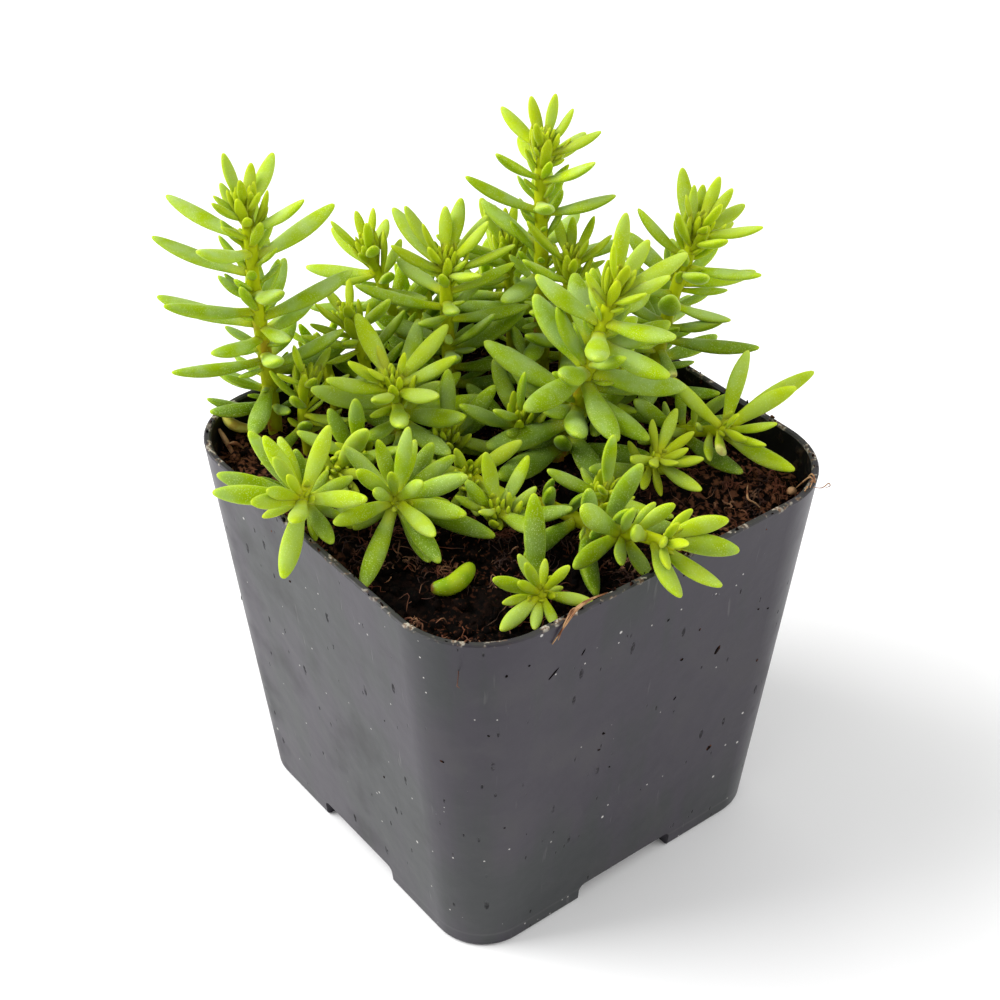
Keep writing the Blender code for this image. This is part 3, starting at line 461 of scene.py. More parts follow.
# The plant's best side, and how far to its left and right the peat turns dry and brown
EYE_TURN = math.radians(52.1)
RIGHT = Vector((math.cos(EYE_TURN), math.sin(EYE_TURN), 0))
DRY_FROM = (14.0, 34.0)
peat, tree, shader, place = new_finish("coco_peat", 0.9, 0.05)
colour = coat(tree, PEAT_BLACK, PEAT_BROWN, patches(tree, place, 1.1, 6.0, 0.42, 0.66))
rust = times(tree, patches(tree, place, 0.6, 4.0, 0.55, 0.64), patches(tree, place, 11.0, 2.0, 0.35, 0.65))
colour = coat(tree, colour, PEAT_RUST, rust)
sideways = add_node(tree, "ShaderNodeVectorMath", {0: place, 1: RIGHT}, operation="DOT_PRODUCT")
sideways = reckon(tree, "ABSOLUTE", times(tree, sideways.outputs["Value"], 1 / MM))
drier = times(tree, patches(tree, place, 0.9, 5.0, 0.48, 0.6), between(tree, sideways, *DRY_FROM))
colour = coat(tree, colour, PEAT_DRY, drier)
dress(tree, shader, colour, cloudy(tree, place, 0.4, 5.0), 0.25)
soil.data.materials.clear()
soil.data.materials.append(peat)
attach(soil, "root")
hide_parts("soil")


def stamp(master, name, reshape):
    """A copy of a master shape with a mesh of its own, whose points are moved by reshape."""
    copy = master.copy()
    copy.data = master.data.copy()
    copy.name = name
    bpy.context.collection.objects.link(copy)
    for vert in copy.data.vertices:
        vert.co = reshape(vert.co)
    return copy


CRUMBS = 1700
CRUMB_SIZE = (0.22, 1.0)
CRUMB_RARE = 2.2
CRUMB_JITTER = 0.32
CRUMB_LIFT = (-0.2, 0.5)
CRUMB_PRESSED = 0.6
RIM_CRUMBS = 110
RIM_CRUMB_SIZE = (0.14, 0.42)
RIM_CRUMB_INSET = (0.1, 1.3)
RIM_CRUMB_LIFT = 0.15
RIM_CRUMB_FALL = (1.5, 6.0)
WALL_FLECKS = 46
WALL_FLECK_SIZE = (0.10, 0.30)
WALL_FLECK_FROM = 0.25
WALL_FLECK_RANGE = 0.72
WALL_FLECK_UPWARD = 0.6
# The larger flecks on the front right wall: place along it, height, length, width and tilt
WALL_MARKS = ((11.4, 38.8, 0.72, 0.42, 60), (13.6, 18.0, 0.5, 0.42, 40), (-18.1, 51.5, 0.95, 0.2, 40),
              (-13.5, 52.6, 0.5, 0.14, 60), (4.6, 33.5, 0.3, 0.16, 50))
MARK_THICK = 0.1
WALL_LEAN = (POT_TOP - POT_BASE) / 2 / POT_HEIGHT

bpy.ops.object.select_all(action="DESELECT")
bpy.ops.mesh.primitive_ico_sphere_add(subdivisions=1, radius=1)
crumb_master = bpy.context.object
bpy.ops.object.mode_set(mode="EDIT")
bpy.ops.mesh.select_all(action="SELECT")
bpy.ops.transform.resize(value=(1.25, 1.0, 0.75))
bpy.ops.object.mode_set(mode="OBJECT")
draw = random.Random("crumbs")


def on_square(turn, half, corner):
    """A point on a square with round corners, and its outward direction, at an angle from the centre."""
    toward = Vector((math.cos(turn), math.sin(turn), 0))
    flat = half - corner
    reach = half / max(abs(toward.x), abs(toward.y))
    spot = toward * reach
    core = Vector((max(-flat, min(flat, spot.x)), max(-flat, min(flat, spot.y)), 0))
    out = (spot - core).normalized()
    return core + out * corner, out


def crumb(centre, size, flat=None):
    """One crumb of peat: the master lump with its corners pushed about, turned at random."""
    angle = draw.uniform(0, math.tau)
    turn = Matrix.Rotation(angle, 3, Vector([draw.gauss(0, 1) for _ in "xyz"]).normalized())

    def reshape(point):
        point = turn @ (point * size * draw.uniform(1 - CRUMB_JITTER, 1 + CRUMB_JITTER))
        if flat:
            point -= flat * point.dot(flat) * CRUMB_PRESSED
        return (centre + point) * MM
    return stamp(crumb_master, "crumb", reshape)


loose = []
half, corner = pot_half(SOIL_TOP)
for k in range(CRUMBS):
    spot, _ = on_square(draw.uniform(0, math.tau), half - POT_WALL, corner - POT_WALL)
    spot = spot * math.sqrt(draw.uniform(0.02, 0.97))
    size = CRUMB_SIZE[0] + (CRUMB_SIZE[1] - CRUMB_SIZE[0]) * draw.random() ** CRUMB_RARE
    spot.z = soil_surface(spot.x, spot.y) + size * draw.uniform(*CRUMB_LIFT)
    loose.append(crumb(spot, size))
half, corner = pot_half(POT_HEIGHT)
for k in range(RIM_CRUMBS):
    inset = draw.uniform(*RIM_CRUMB_INSET)
    spot, out = on_square(draw.uniform(0, math.tau), half - inset, corner - inset)
    size = draw.uniform(*RIM_CRUMB_SIZE)
    sunk = max(0.0, inset - POT_WALL)
    spot.z = POT_HEIGHT + size * RIM_CRUMB_LIFT - sunk * draw.uniform(*RIM_CRUMB_FALL)
    loose.append(crumb(spot, size, out))
for k in range(WALL_FLECKS):
    level = POT_HEIGHT * (WALL_FLECK_FROM + WALL_FLECK_RANGE * draw.random() ** WALL_FLECK_UPWARD)
    half, corner = pot_half(level)
    spot, out = on_square(draw.uniform(0, math.tau), half, corner)
    spot.z = level
    loose.append(crumb(spot, draw.uniform(*WALL_FLECK_SIZE), out))
out = Vector((1, 0, -WALL_LEAN)).normalized()
for along_wall, level, length, width, tilt in WALL_MARKS:
    turn = Matrix.Rotation(math.radians(tilt), 3, out)
    grain, over = turn @ Vector((0, 1, 0)), turn @ out.cross(Vector((0, 1, 0)))
    centre = Vector((pot_half(level)[0], along_wall, level))

    def pressed(point):
        return (centre + grain * point.x * length + over * point.y * width + out * point.z * MARK_THICK) * MM
    loose.append(stamp(crumb_master, "mark", pressed))
crumbs = join_pieces(loose, "peat_crumbs")
bpy.data.objects.remove(crumb_master, do_unlink=True)
pick(crumbs)
bpy.ops.object.shade_smooth()
crumbs.data.materials.clear()
crumbs.data.materials.append(peat)
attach(crumbs, "root")

# Coir fibres
# Fine brown fibres and paler rootlets, single and in tangled tufts. They lie loose in the top of
# the peat and arch a little over it.
FIBRES = 260
FIBRE_LENGTH = (2.0, 8.0)
FIBRE_RADIUS = (0.035, 0.085)
FIBRE_STEPS = 7
FIBRE_WANDER = 0.6
FIBRE_RISE = 0.9
FIBRE_LIFT = (-0.1, 0.25)
FIBRE_TIP = 0.5
FIBRE_EDGE = 0.4
TUFTS = 100
TUFT_FIBRES = (8, 20)
TUFT_SPREAD = 1.0
TUFT_LENGTH = (0.8, 3.4)
TUFT_RADIUS = (0.045, 0.14)
TUFT_WANDER = 0.85
TUFT_RISE = 1.1


def threads(name, routes, resolution):
    """A mesh of round threads, each a list of (point, radius) in millimetres."""
    curve = bpy.data.curves.new(name, "CURVE")
    curve.dimensions = "3D"
    curve.bevel_depth = MM
    curve.bevel_resolution = resolution
    curve.use_fill_caps = True
    for route in routes:
        spline = curve.splines.new("POLY")
        spline.points.add(len(route) - 1)
        for item, (point, radius) in zip(spline.points, route):
            item.co = (*(point * MM), 1.0)
            item.radius = radius
        spline.use_smooth = True
    piece = bpy.data.objects.new(name, curve)
    bpy.context.collection.objects.link(piece)
    pick(piece)
    bpy.ops.object.convert(target="MESH")
    close_up(piece)
    bpy.ops.object.shade_smooth()
    return piece


def fibre(spot, lengths, radii, wander, rise):
    """The route of one fibre that wanders over the soil from a point, arching a little above it."""
    half, _ = pot_half(SOIL_TOP)
    limit = half - POT_WALL - FIBRE_EDGE
    heading = draw.uniform(0, math.tau)
    step = draw.uniform(*lengths) / FIBRE_STEPS
    radius = draw.uniform(*radii)
    arch = draw.uniform(0.0, rise)
    route = []
    for j in range(FIBRE_STEPS + 1):
        lift = math.sin(math.pi * j / FIBRE_STEPS) * arch + draw.uniform(*FIBRE_LIFT)
        spot = Vector((max(-limit, min(limit, spot.x)), max(-limit, min(limit, spot.y)), 0))
        spot.z = soil_surface(spot.x, spot.y) + lift
        route.append((spot, radius * (1.0 if j < FIBRE_STEPS else FIBRE_TIP)))
        heading += draw.gauss(0, wander)
        spot = spot + Vector((math.cos(heading), math.sin(heading), 0)) * step
    return route


draw = random.Random("fibres")
half, corner = pot_half(SOIL_TOP)
routes = []
for k in range(FIBRES + TUFTS):
    spot, _ = on_square(draw.uniform(0, math.tau), half - POT_WALL - 1, corner - POT_WALL - 1)
    spot = spot * math.sqrt(draw.uniform(0.05, 0.98))
    if k < FIBRES:
        routes.append(fibre(spot, FIBRE_LENGTH, FIBRE_RADIUS, FIBRE_WANDER, FIBRE_RISE))
        continue
    for _ in range(draw.randint(*TUFT_FIBRES)):
        near = spot + Vector((draw.gauss(0, TUFT_SPREAD), draw.gauss(0, TUFT_SPREAD), 0))
        routes.append(fibre(near, TUFT_LENGTH, TUFT_RADIUS, TUFT_WANDER, TUFT_RISE))
fibres = threads("coir_fibres", routes, 0)

FIBRE_DARK = (0.025, 0.008, 0.004, 1)
FIBRE_RUST = (0.13, 0.036, 0.014, 1)
FIBRE_TAN = (0.34, 0.17, 0.085, 1)
coir, tree, shader, place = new_finish("coir", 0.65, 0.3)
colour = coat(tree, FIBRE_DARK, FIBRE_RUST, patches(tree, place, 5.0, 2.0, 0.42, 0.58))
dress(tree, shader, coat(tree, colour, FIBRE_TAN, patches(tree, place, 3.0, 2.0, 0.52, 0.72)))
fibres.data.materials.append(coir)
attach(fibres, "root")

# Leafy stems
# Each shoot is one growth: a fleshy round stem with plump spindle-shaped leaves in a spiral,
# crowded and bright at the tip, larger and a deeper green lower down, with a pale waxy bloom. Painted
# shade darkens the low leaves and the leaves' lower sides, and a painted sheen lightens their upper sides.
# The shoots root in the soil, and their places and large leaves are those of the model.
# The point from which the leaves are set out, a little to the left of the middle
EYE_NEAR = 206.0
EYE_HEIGHT = 203.0
EYE_ACROSS = -1.0
# The form of a leaf and of its stem
LEAF_SLIM = 1.1
LEAF_SPREAD = 0.155
LEAF_WIDEST = 3.1
LEAF_BOW = 0.09
LEAF_LONGEST = 15.0
LEAF_ROOT_WIDTH = 0.62
LEAF_SWELL = 0.8
LEAF_BLUNT = 5.5
ALONG_STEM = 0.2
LEAF_RISE = 0.8
ROOT_DEPTH = 0.7
STEM_TAPER = 0.25
# The spiral rule: how far the leaves open, and by how much chance moves them
OPEN_OLD = 82
OPEN_LESS = 58
OPEN_CURVE = 1.6
YOUNG_FROM = 0.6
YOUNG_SHORTER = 0.5
DRAW_TURN = 0.25
DRAW_OPEN = 8
DRAW_SIZE = (0.88, 1.08)
# How the leaves are kept clear of the pot, of the soil and of one another
CLEAR = 0.3
SOIL_CLEAR = 0.5
BALL_STEP = 1.4
BALL_FROM = 0.2
BALL_TO = 0.95
BALL_FIT = 0.48
STEM_BALLS = 45
TRIED_LENGTHS = (1.0, 0.88, 0.76, 0.64)
TRIED_LIFTS = (0, 1.2, -1.2, 2.4)
TRIED_PUSHES = (0, 1.5, -1.5, 3, -3, 4.5, -4.5, 6.5, -6.5)
FALLEN_LEAF = [(-9.6, 26.8), (-7.4, 26.6), (-5.8, 24.8), (-4.6, 22.2)]
FALLEN_THICK = 2.6
GOLDEN_ANGLE = math.radians(137.5)
NEAR = Vector((math.sin(EYE_TURN), -math.cos(EYE_TURN), 0))
UP = Vector((0, 0, 1))

# Each leafy stem: its name, its thickness, the points that it passes through as
# (across, near, height), its leaves from the bottom up as (percent of the stem's length at the
# root, across, up, towards the eye), and the leaves that follow the spiral rule as
# (how many, lowest percent, highest percent, length)
STEMS = [
    ("stem_middle_tall", 3.2,
     [(6.8, -2.5, 56), (7.8, -3, 58), (10.6, -3, 70), (12.7, -3, 78.5), (14.4, -3, 84)],
     [(10, -7.8, -5.4, 3), (10, -6.8, 0.4, 5), (17, 3.8, -6.8, 5), (22, -10.3, -4.5, 1),
      (26, -9, 7.6, -2), (30, -3.5, -1.0, 5), (36, -12, 5.9, -1), (40, 7.7, -6.5, 3), (42, 9.4, 0.8, -2),
      (45, 3.6, -7.7, 6), (50, 11.6, -2.1, 0), (50, -7.3, -5.6, 6), (52, -6.4, 8.2, 1),
      (54, -3.2, 6.4, 5), (55, 3.5, 0.8, 6), (62, -2.6, 8.7, -4), (66, 8.2, -4.3, 3), (69, 4.0, 1.6, -6),
      (71, -0.3, -3.4, 10), (76, -7.7, 4.9, 3), (77, 7.9, -1.8, 4), (82, 4.5, 1.8, -7),
      (86, -1.4, 1.6, 3), (88, 3.4, 1.2, 5), (90, 5.6, 2.8, 3), (92, 7.8, 4.9, -1), (95, 3.2, 5.2, -3),
      (96, 1.2, 2.6, 4), (97, 0.9, 7.7, 0), (98, 0.3, 4.2, 3)],
     (3, 8, 30, 10)),
    ("stem_front_upright", 2.8,
     [(-14, -5, 56), (-14.5, -3.5, 61), (-15.3, -2, 69.5)],
     [(25, -3.7, -0.9, 5), (45, 5.7, -4.9, 4), (48, -4.1, -2.5, 7), (50, 10.4, 1.3, -3),
      (55, 7.7, -1.2, 6), (66, -10, 2.0, 3), (68, 0.3, -2.9, 9), (84, -2.3, -0.9, 8), (86, 4.9, -1.3, 7),
      (87, -7.5, 1.2, 5), (90, 7.2, 2.9, 4), (93, 6.8, 6.4, -3), (94, -4.4, 2.5, 3), (96, -3.9, 7.9, -3),
      (97, -1.3, 3.3, -1), (97, 0.5, 2.6, 2), (98, -1.9, 1.4, 2.5)],
     (4, 12, 42, 10)),
    ("stem_left_tall", 3.0,
     [(-32.5, -10, 56), (-33, -10, 67), (-33.6, -9, 80), (-33.5, -9, 86), (-33.9, -9, 92.5)],
     [(3, -7.0, 0.6, -1), (7, -7.4, 2.0, 1), (12, -7.2, -1.0, 4), (17, -6.4, 2.3, -8),
      (18, -4.8, 1.8, 1), (20, -2.5, -6.6, 8), (23, -3.3, 2.3, -2), (25, 10.5, 2.2, -5),
      (28, 9.4, 3.6, 5), (31, -11.3, -1.1, 4), (31, 4.0, 4.2, -9), (34, 1.4, -1.0, 11),
      (37, -3.9, 2.0, -3), (43, 7.9, 4.5, -7), (47, -12.3, 4.0, -4), (50, 11.6, 4.6, 3),
      (53, -10.8, 1.2, 5), (59, -2.4, 2.6, 1), (61, 2.8, -0.2, 11), (69, -13.3, 5.8, -3),
      (75, 10.4, 5.6, -3), (78, -5.9, 0.3, 10), (80, 1.9, 2.9, -11), (83, -9.4, 5.6, -5),
      (87, 6.1, 2.8, 6), (91, -3.1, 2.1, 4), (94, 3.6, 6.2, -5), (95, 0.9, 4.6, -2),
      (96, -1.3, 5.8, 1.5), (97, -0.3, 3.0, 3)],
     (0, 0, 0, 0)),
    ("stem_back_tall", 3.2,
     [(5, -22, 56), (4.8, -22, 70), (4.6, -22, 83), (4.5, -22, 89), (5.1, -22, 94.5)],
     [(57, -7.5, 5.4, -6), (57, 4.5, 3.8, -7), (71, 8.6, 1.9, 4), (72, -8.8, 3.9, 4),
      (75, 0.7, -0.5, 11), (77, 0.5, 3.5, -10), (84, 5.9, 2.0, 7), (85, -4.8, 2.7, 6),
      (88, -2.8, 3.1, -7), (90, 5.0, 3.2, -7), (94, 6.0, 2.6, 3), (95, -5.0, 4.6, -4), (96, 2.3, 4.4, 1),
      (96, -0.4, 3.0, 3), (97, -1.3, 5.2, -1), (98, 0.9, 5.2, 1)],
     (9, 12, 52, 11)),
    ("stem_right_back", 3.0,
     [(20, -18, 56), (22.3, -18, 69.6), (24.2, -18, 77.5), (26.1, -18, 84)],
     [(30, 1.9, -4.8, 3), (35, 12.2, -1.0, 2), (42, 6.7, 1.0, 6), (43, 2.7, 3.0, -7), (55, 6.9, -2.0, 5),
      (66, 9.5, 1.6, -6), (67, -6.8, 5.2, -6), (69, -1.5, 4.2, -9), (72, 2.9, -0.2, 9),
      (76, 9.0, -0.8, 4), (80, -5.9, 5.4, 4), (89, 3.6, 0.6, 6), (90, -2.0, 8.6, -5), (91, 4.1, 1.6, -6),
      (94, 7.2, 1.2, 3), (95, 5.0, 3.2, -4), (96, -0.8, 3.6, 2), (96, 3.1, 4.9, 0), (97, 1.9, 3.4, 3),
      (97, 0.1, 4.6, -3), (98, 1.8, 5.6, -1)],
     (5, 6, 28, 11)),
    ("stem_middle_back", 3.0,
     [(-8, -18, 56), (-8.4, -17, 70.3), (-8.5, -17, 79.5)],
     [(35, 0.6, -1.2, 9), (40, 5.2, 3.7, 7), (42, -9.0, 2.8, -3), (58, 10.1, 1.1, 4),
      (66, -11.1, 2.7, 4), (70, 0.9, -1.5, 10), (75, -6.0, 3.9, -7), (89, 3.9, -0.6, 7),
      (90, 8.1, 2.8, 3), (91, -5.9, 2.9, 5), (92, -6.2, 7.3, -4), (93, 5.1, 5.8, -4), (95, 4.5, 4.9, 3),
      (96, -4.2, 6.6, 0), (97, 1.9, 7.2, -2), (97, -1.5, 4.5, 3), (98, 0.1, 5.8, 0)],
     (4, 10, 32, 11)),
    ("stem_front_rosette", 2.8,
     [(-14, 8, 56), (-14.3, 12, 59.5), (-14.4, 15, 62)],
     [(62, 3.4, -8.0, -1), (66, 11.3, -4.7, 0), (72, -4.6, -2.8, 1), (80, 5.7, -0.6, 0),
      (84, -4.2, -9.9, 3), (86, 4.5, -7.1, 6), (88, 7.6, -2.0, 5), (88, -6.6, -2.2, 6),
      (90, 6.9, 4.6, -1), (91, 8.0, 2.2, 4), (92, 2.5, 6.4, -2), (93, -5.3, 6.0, 1), (94, 1.8, 7.9, 1),
      (95, 3.8, -3.9, 7), (96, -3.5, 2.9, 6), (97, 2.3, 1.4, 6), (98, -0.3, 2.0, 4), (98, -1.3, 0.6, 5)],
     (0, 0, 0, 0)),
    ("stem_left_rosette", 2.6,
     [(-26, 9.5, 56), (-26, 13.5, 60.6), (-25.8, 18.1, 64.5)],
     [(80, -4.2, -1.6, -3), (90, -2.8, -8.6, 0.6), (86, 6.7, -0.6, 6), (88, -9.9, 1.4, 3),
      (90, -2.0, 6.9, -3), (92, -3.7, 7.1, 0), (93, 3.6, 7.8, 0), (94, -5.0, 0.0, 6),
      (95, -0.9, -1.6, 9), (96, -2.5, 4.2, 3), (97, -3.0, 0.9, 5), (98, -1.0, 1.8, 3)],
     (0, 0, 0, 0)),
    ("stem_front_creeping", 2.8,
     [(3, 8, 56.4), (6, 11, 57.6), (11.8, 17, 58.6), (16.4, 22.3, 61.8), (20.2, 25.8, 62.8)],
     [(34, -6.4, -4.0, 2), (42, 1.2, -7.4, 4), (47, -1.4, 4.2, 6), (53, 3.7, 7.4, 3), (60, 1.6, 1.8, 4),
      (66, -5.4, -3.9, 5), (68, 0.0, -2.9, 4), (70, 0.8, 2.2, 5), (72, 2.0, 3.0, 0), (76, 3.7, 2.9, 2),
      (84, -1.4, 0.5, 6.5), (90, 3.3, -5.4, 6), (91, 7.1, -3.9, 2.3), (92, 8.4, -0.8, 2),
      (93, 6.8, 2.3, 2), (94, 2.2, 3.3, 0), (96, 0.9, 1.8, 3), (96, 0.6, -2.2, 4), (97, -0.5, 0.2, 4),
      (97, 2.4, -0.2, 4)],
     (0, 0, 0, 0)),
    ("stem_right_rosette", 2.6,
     [(22, -8, 56), (23.6, -5.5, 58.6), (26.1, -3, 60.2), (29.7, 0, 62.6)],
     [(30, 7.8, -6.6, 4), (36, -1.0, 5.2, 1), (76, -0.1, -3.2, 4), (88, 0.9, -3.4, 6),
      (90, 8.9, -3.6, 4), (91, -7.4, 5.4, 1), (93, 10.3, 8.0, -3), (94, 1.5, 9.7, -2), (95, 7.8, 5.3, 2),
      (96, 5.2, 0.9, 4), (96, 4.9, -0.6, 5), (97, 2.6, -0.6, 5), (98, 1.4, 1.4, 4)],
     (0, 0, 0, 0)),
    ("stem_back_right", 3.0,
     [(8, -18, 56), (8.4, -19, 68), (8.6, -20, 78)],
     [(62, -8.0, 2.9, 3), (70, 4.5, -1.2, 5), (80, 3.8, 0.4, 7), (83, -5.3, 2.2, 7), (87, 4.0, 0.8, -5),
      (92, 4.2, 3.8, 2), (93, 3.4, 1.8, -5), (95, -4.5, 4.7, 2), (96, 0.2, 4.8, -4), (97, 1.9, 5.0, 1),
      (98, -1.0, 4.8, 1)],
     (5, 12, 55, 11)),
    ("stem_right_low", 2.6,
     [(18, 2, 56), (19, 3, 58.5), (20, 4, 61)],
     [(45, -7.0, -1.0, 2), (60, -1.0, -2.8, 3), (72, 0.6, -3.8, 1), (86, 5.1, -3.2, 4),
      (88, 4.8, 0.7, 4), (90, -2.8, -0.4, 5), (92, 3.5, 2.9, 0), (93, 1.7, 5.4, -1), (94, -0.8, 3.6, 0),
      (95, 2.5, 1.6, 3), (97, 2.0, 0.0, 4), (98, -0.4, -0.8, 5)],
     (0, 0, 0, 0)),
    ("stem_front_low", 2.6,
     [(3.6, 27, 56), (3.9, 28.6, 57.6), (4.1, 30, 58.8)],
     [(70, 5.2, -0.8, 2), (75, -3.6, -1.0, 2), (80, -0.5, -3.2, 3), (84, -4.0, -3.8, 4),
      (88, 1.5, -2.9, 5), (90, -4.8, 1.3, 4), (92, -2.4, 3.7, 0), (93, 0.2, 3.0, 0), (94, 2.4, 2.4, 3),
      (95, -1.4, 2.6, 3), (97, -1.8, 0.8, 4)],
     (0, 0, 0, 0)),
    ("stem_left_back", 2.6,
     [(-13.5, -24, 56), (-16, -24, 65), (-18, -24, 72), (-20, -24, 77.5)],
     [(74, 2.7, 4.2, -2), (78, -8.9, 0.8, -3), (90, 2.4, 4.0, -5), (92, 0.5, 0.8, 6), (95, -3.4, 4.0, 2),
      (97, -1.0, 4.0, -1), (97, 0.7, 4.2, 0)],
     (6, 15, 66, 10)),
    ("stem_left_small", 2.4,
     [(-18.5, -15, 56), (-20.5, -16, 65), (-22, -16, 71)],
     [(76, -5.0, 1.5, 1), (84, -3.8, 3.4, 3), (94, -2.5, 3.4, -3), (95, -0.4, 1.6, 4), (97, 0.1, 4.0, -1)],
     (5, 15, 66, 9)),
    ("stem_back_small", 2.6,
     [(1, -28, 56), (0.4, -28, 66), (-0.1, -28, 76)],
     [(92, 2.9, 2.3, 3), (94, -3.2, 5.9, -3), (96, -1.5, 4.5, -2), (97, 0.7, 4.6, 0),
      (98, -0.2, 3.6, 1.5)],
     (8, 15, 84, 10)),
    ("stem_left_short", 2.4,
     [(-27.5, -5.5, 56), (-28, -6.5, 61), (-27, -7.5, 66.5)],
     [(30, -5.4, -5.4, 4), (45, 5.2, -1.8, 5), (70, 5.0, 2.0, 1), (90, 2.6, 3.6, -1), (95, -0.6, 3.4, 1)],
     (3, 35, 85, 8)),
    ("stem_left_lying", 2.4,
     [(-24, -0.5, 56.6), (-23.2, 3, 58.2), (-22.6, 6, 59.6)],
     [(60, 4.0, 1.0, 2), (78, 1.6, -8.6, 4), (88, 3.6, 4.4, 3), (94, 3.0, -0.6, 4), (96, -2.0, 3.0, 0)],
     (0, 0, 0, 0)),
    ("stem_inner_low", 2.4,
     [(-5.5, 4, 56), (-5.2, 5, 58), (-5, 6.5, 60)],
     [(80, -6.5, 1.5, 0), (85, 6.0, 3.6, -2), (90, 6.2, -3.4, 2), (92, 0.8, -4.6, 4), (95, 1.4, 1.8, 3),
      (97, -1.2, 2.2, 2)],
     (0, 0, 0, 0)),
    ("stem_inner_front", 2.4, [(-1, 12.5, 56), (-1.2, 13.2, 58), (-1.4, 14, 60)], [], (8, 40, 97, 8)),
    ("stem_inner_right", 2.4, [(12, 9, 56), (12.6, 9.6, 58), (13.2, 10.4, 60)], [], (8, 40, 97, 8)),
    ("stem_inner_left", 2.4, [(-20, 0.5, 56), (-20, 1.4, 58.5), (-20, 2.2, 61)], [], (8, 35, 97, 8)),
    ("stem_middle_left", 2.4, [(-8.5, -3, 56), (-8.2, -1.5, 59.5), (-8, 0, 62.5)], [], (8, 30, 97, 9)),
    ("stem_middle_low", 2.4, [(1.5, -5, 56), (1.7, -3.6, 60), (2, -2.4, 64)], [], (9, 25, 97, 9)),
    ("stem_right_inner", 2.4, [(14, -13, 56), (14.4, -12.2, 60), (15, -11.6, 64)], [], (8, 25, 97, 9)),
    ("stem_back_corner", 2.6,
     [(-3, -33.6, 56), (-3.3, -34.4, 60.6), (-3.6, -36.2, 65)],
     [],
     (11, 25, 97, 9)),
    ("stem_back_outer_left", 2.6,
     [(-10.6, -27.5, 56), (-11.9, -28, 60.8), (-14.2, -31, 65.1)],
     [],
     (11, 25, 97, 9)),
    ("stem_back_outer_right", 2.6,
     [(13, -29, 56), (13.4, -29.8, 61), (13.8, -30.6, 66)],
     [],
     (11, 25, 97, 9)),
    ("stem_left_outer", 2.4,
     [(-24.4, -15.6, 56), (-25.3, -16.6, 60.8), (-27.2, -19.2, 64.2)],
     [],
     (9, 25, 97, 9)),
]


def seen(across, near, height):
    """A point given as seen from the plant's best side, in the pot's own directions."""
    return RIGHT * across + NEAR * near + UP * height


EYE = seen(EYE_ACROSS, EYE_NEAR, EYE_HEIGHT)


def smooth_path(points, steps):
    """Points along the smooth curve through the given points."""
    spread = [points[0] * 2 - points[1]] + points + [points[-1] * 2 - points[-2]]
    path = []
    for a, b, c, d in zip(spread, spread[1:], spread[2:], spread[3:]):
        for step in range(steps):
            t = step / steps
            path.append(0.5 * ((2 * b) + (c - a) * t + (2 * a - 5 * b + 4 * c - d) * t ** 2
                               + (3 * b - a - 3 * c + d) * t ** 3))
    path.append(points[-1].copy())
    return path


def along(path, share):
    """The place and the direction at a share of a path's length."""
    lengths = [(b - a).length for a, b in zip(path, path[1:])]
    left = share * sum(lengths)
    for a, b, length in zip(path, path[1:], lengths):
        if left <= length or b is path[-1]:
            return a + (b - a) * (left / length), (b - a).normalized()
        left -= length


def eye_axes(spot):
    """Right, up and towards the eye, as seen from the plant's best side at a spot."""
    towards = (EYE - spot).normalized()
    right = UP.cross(towards).normalized()
    return right, towards.cross(right), towards


def leaf_shape(root, reach, stem_line):
    """A leaf from its root to its tip: its middle line as three points, its width and its up side."""
    length = reach.length
    line = reach.normalized()
    face = stem_line - line * stem_line.dot(line)
    if face.length < ALONG_STEM:
        face = line.orthogonal()
    face.normalize()
    bend = root + reach * 0.5 - face * LEAF_BOW * length
    width = min(LEAF_WIDEST, LEAF_SLIM + LEAF_SPREAD * length)
    return {"line": (root, bend, root + reach), "width": width, "face": face}


def leaf_point(leaf, t):
    a, b, c = leaf["line"]
    return a * (1 - t) ** 2 + b * 2 * t * (1 - t) + c * t ** 2


def leaf_width(t):
    """The leaf's width as a share of its widest: a narrow root, a full middle and a blunt tip."""
    swell = math.sin(math.pi * min(t * LEAF_SWELL, 1))
    tip = math.sqrt(max(0, 1 - t ** LEAF_BLUNT))
    return (LEAF_ROOT_WIDTH + (1 - LEAF_ROOT_WIDTH) * swell) * tip


def leaf_balls(leaf):
    """Balls along the outer part of a leaf, which stand for it when it is kept clear of others."""
    length = (leaf["line"][2] - leaf["line"][0]).length
    count = max(3, round(length / BALL_STEP))
    balls = []
    for k in range(count + 1):
        t = BALL_FROM + (BALL_TO - BALL_FROM) * k / count
        point = leaf_point(leaf, t)
        balls.append((point.x, point.y, point.z, BALL_FIT * leaf["width"] * leaf_width(t)))
    return balls


def stem_balls(stem):
    """Balls along a stem above the soil."""
    balls = []
    for k in range(STEM_BALLS):
        point, _ = along(stem["above"], k / (STEM_BALLS - 1))
        balls.append((point.x, point.y, point.z, stem["thick"] / 2))
    return balls


def square_distance(x, y, half, corner):
    """How far outside a square with round corners a point is, negative inside."""
    over_x = abs(x) - (half - corner)
    over_y = abs(y) - (half - corner)
    return math.hypot(max(over_x, 0), max(over_y, 0)) + min(max(over_x, over_y), 0) - corner


def clear_of_pot(balls):
    """Whether a leaf's balls keep clear of the pot's wall and of the soil."""
    for x, y, z, radius in balls:
        keep = radius + CLEAR
        half, corner = pot_half(min(z, POT_HEIGHT))
        outside = square_distance(x, y, half, corner)
        rim = max(z - POT_HEIGHT, 0)
        beside = max(outside, -POT_WALL - outside, 0)
        if math.hypot(rim, beside) < keep:
            return False
        if outside < 0 and z < soil_height(x, y) + radius + SOIL_CLEAR:
            return False
    return True


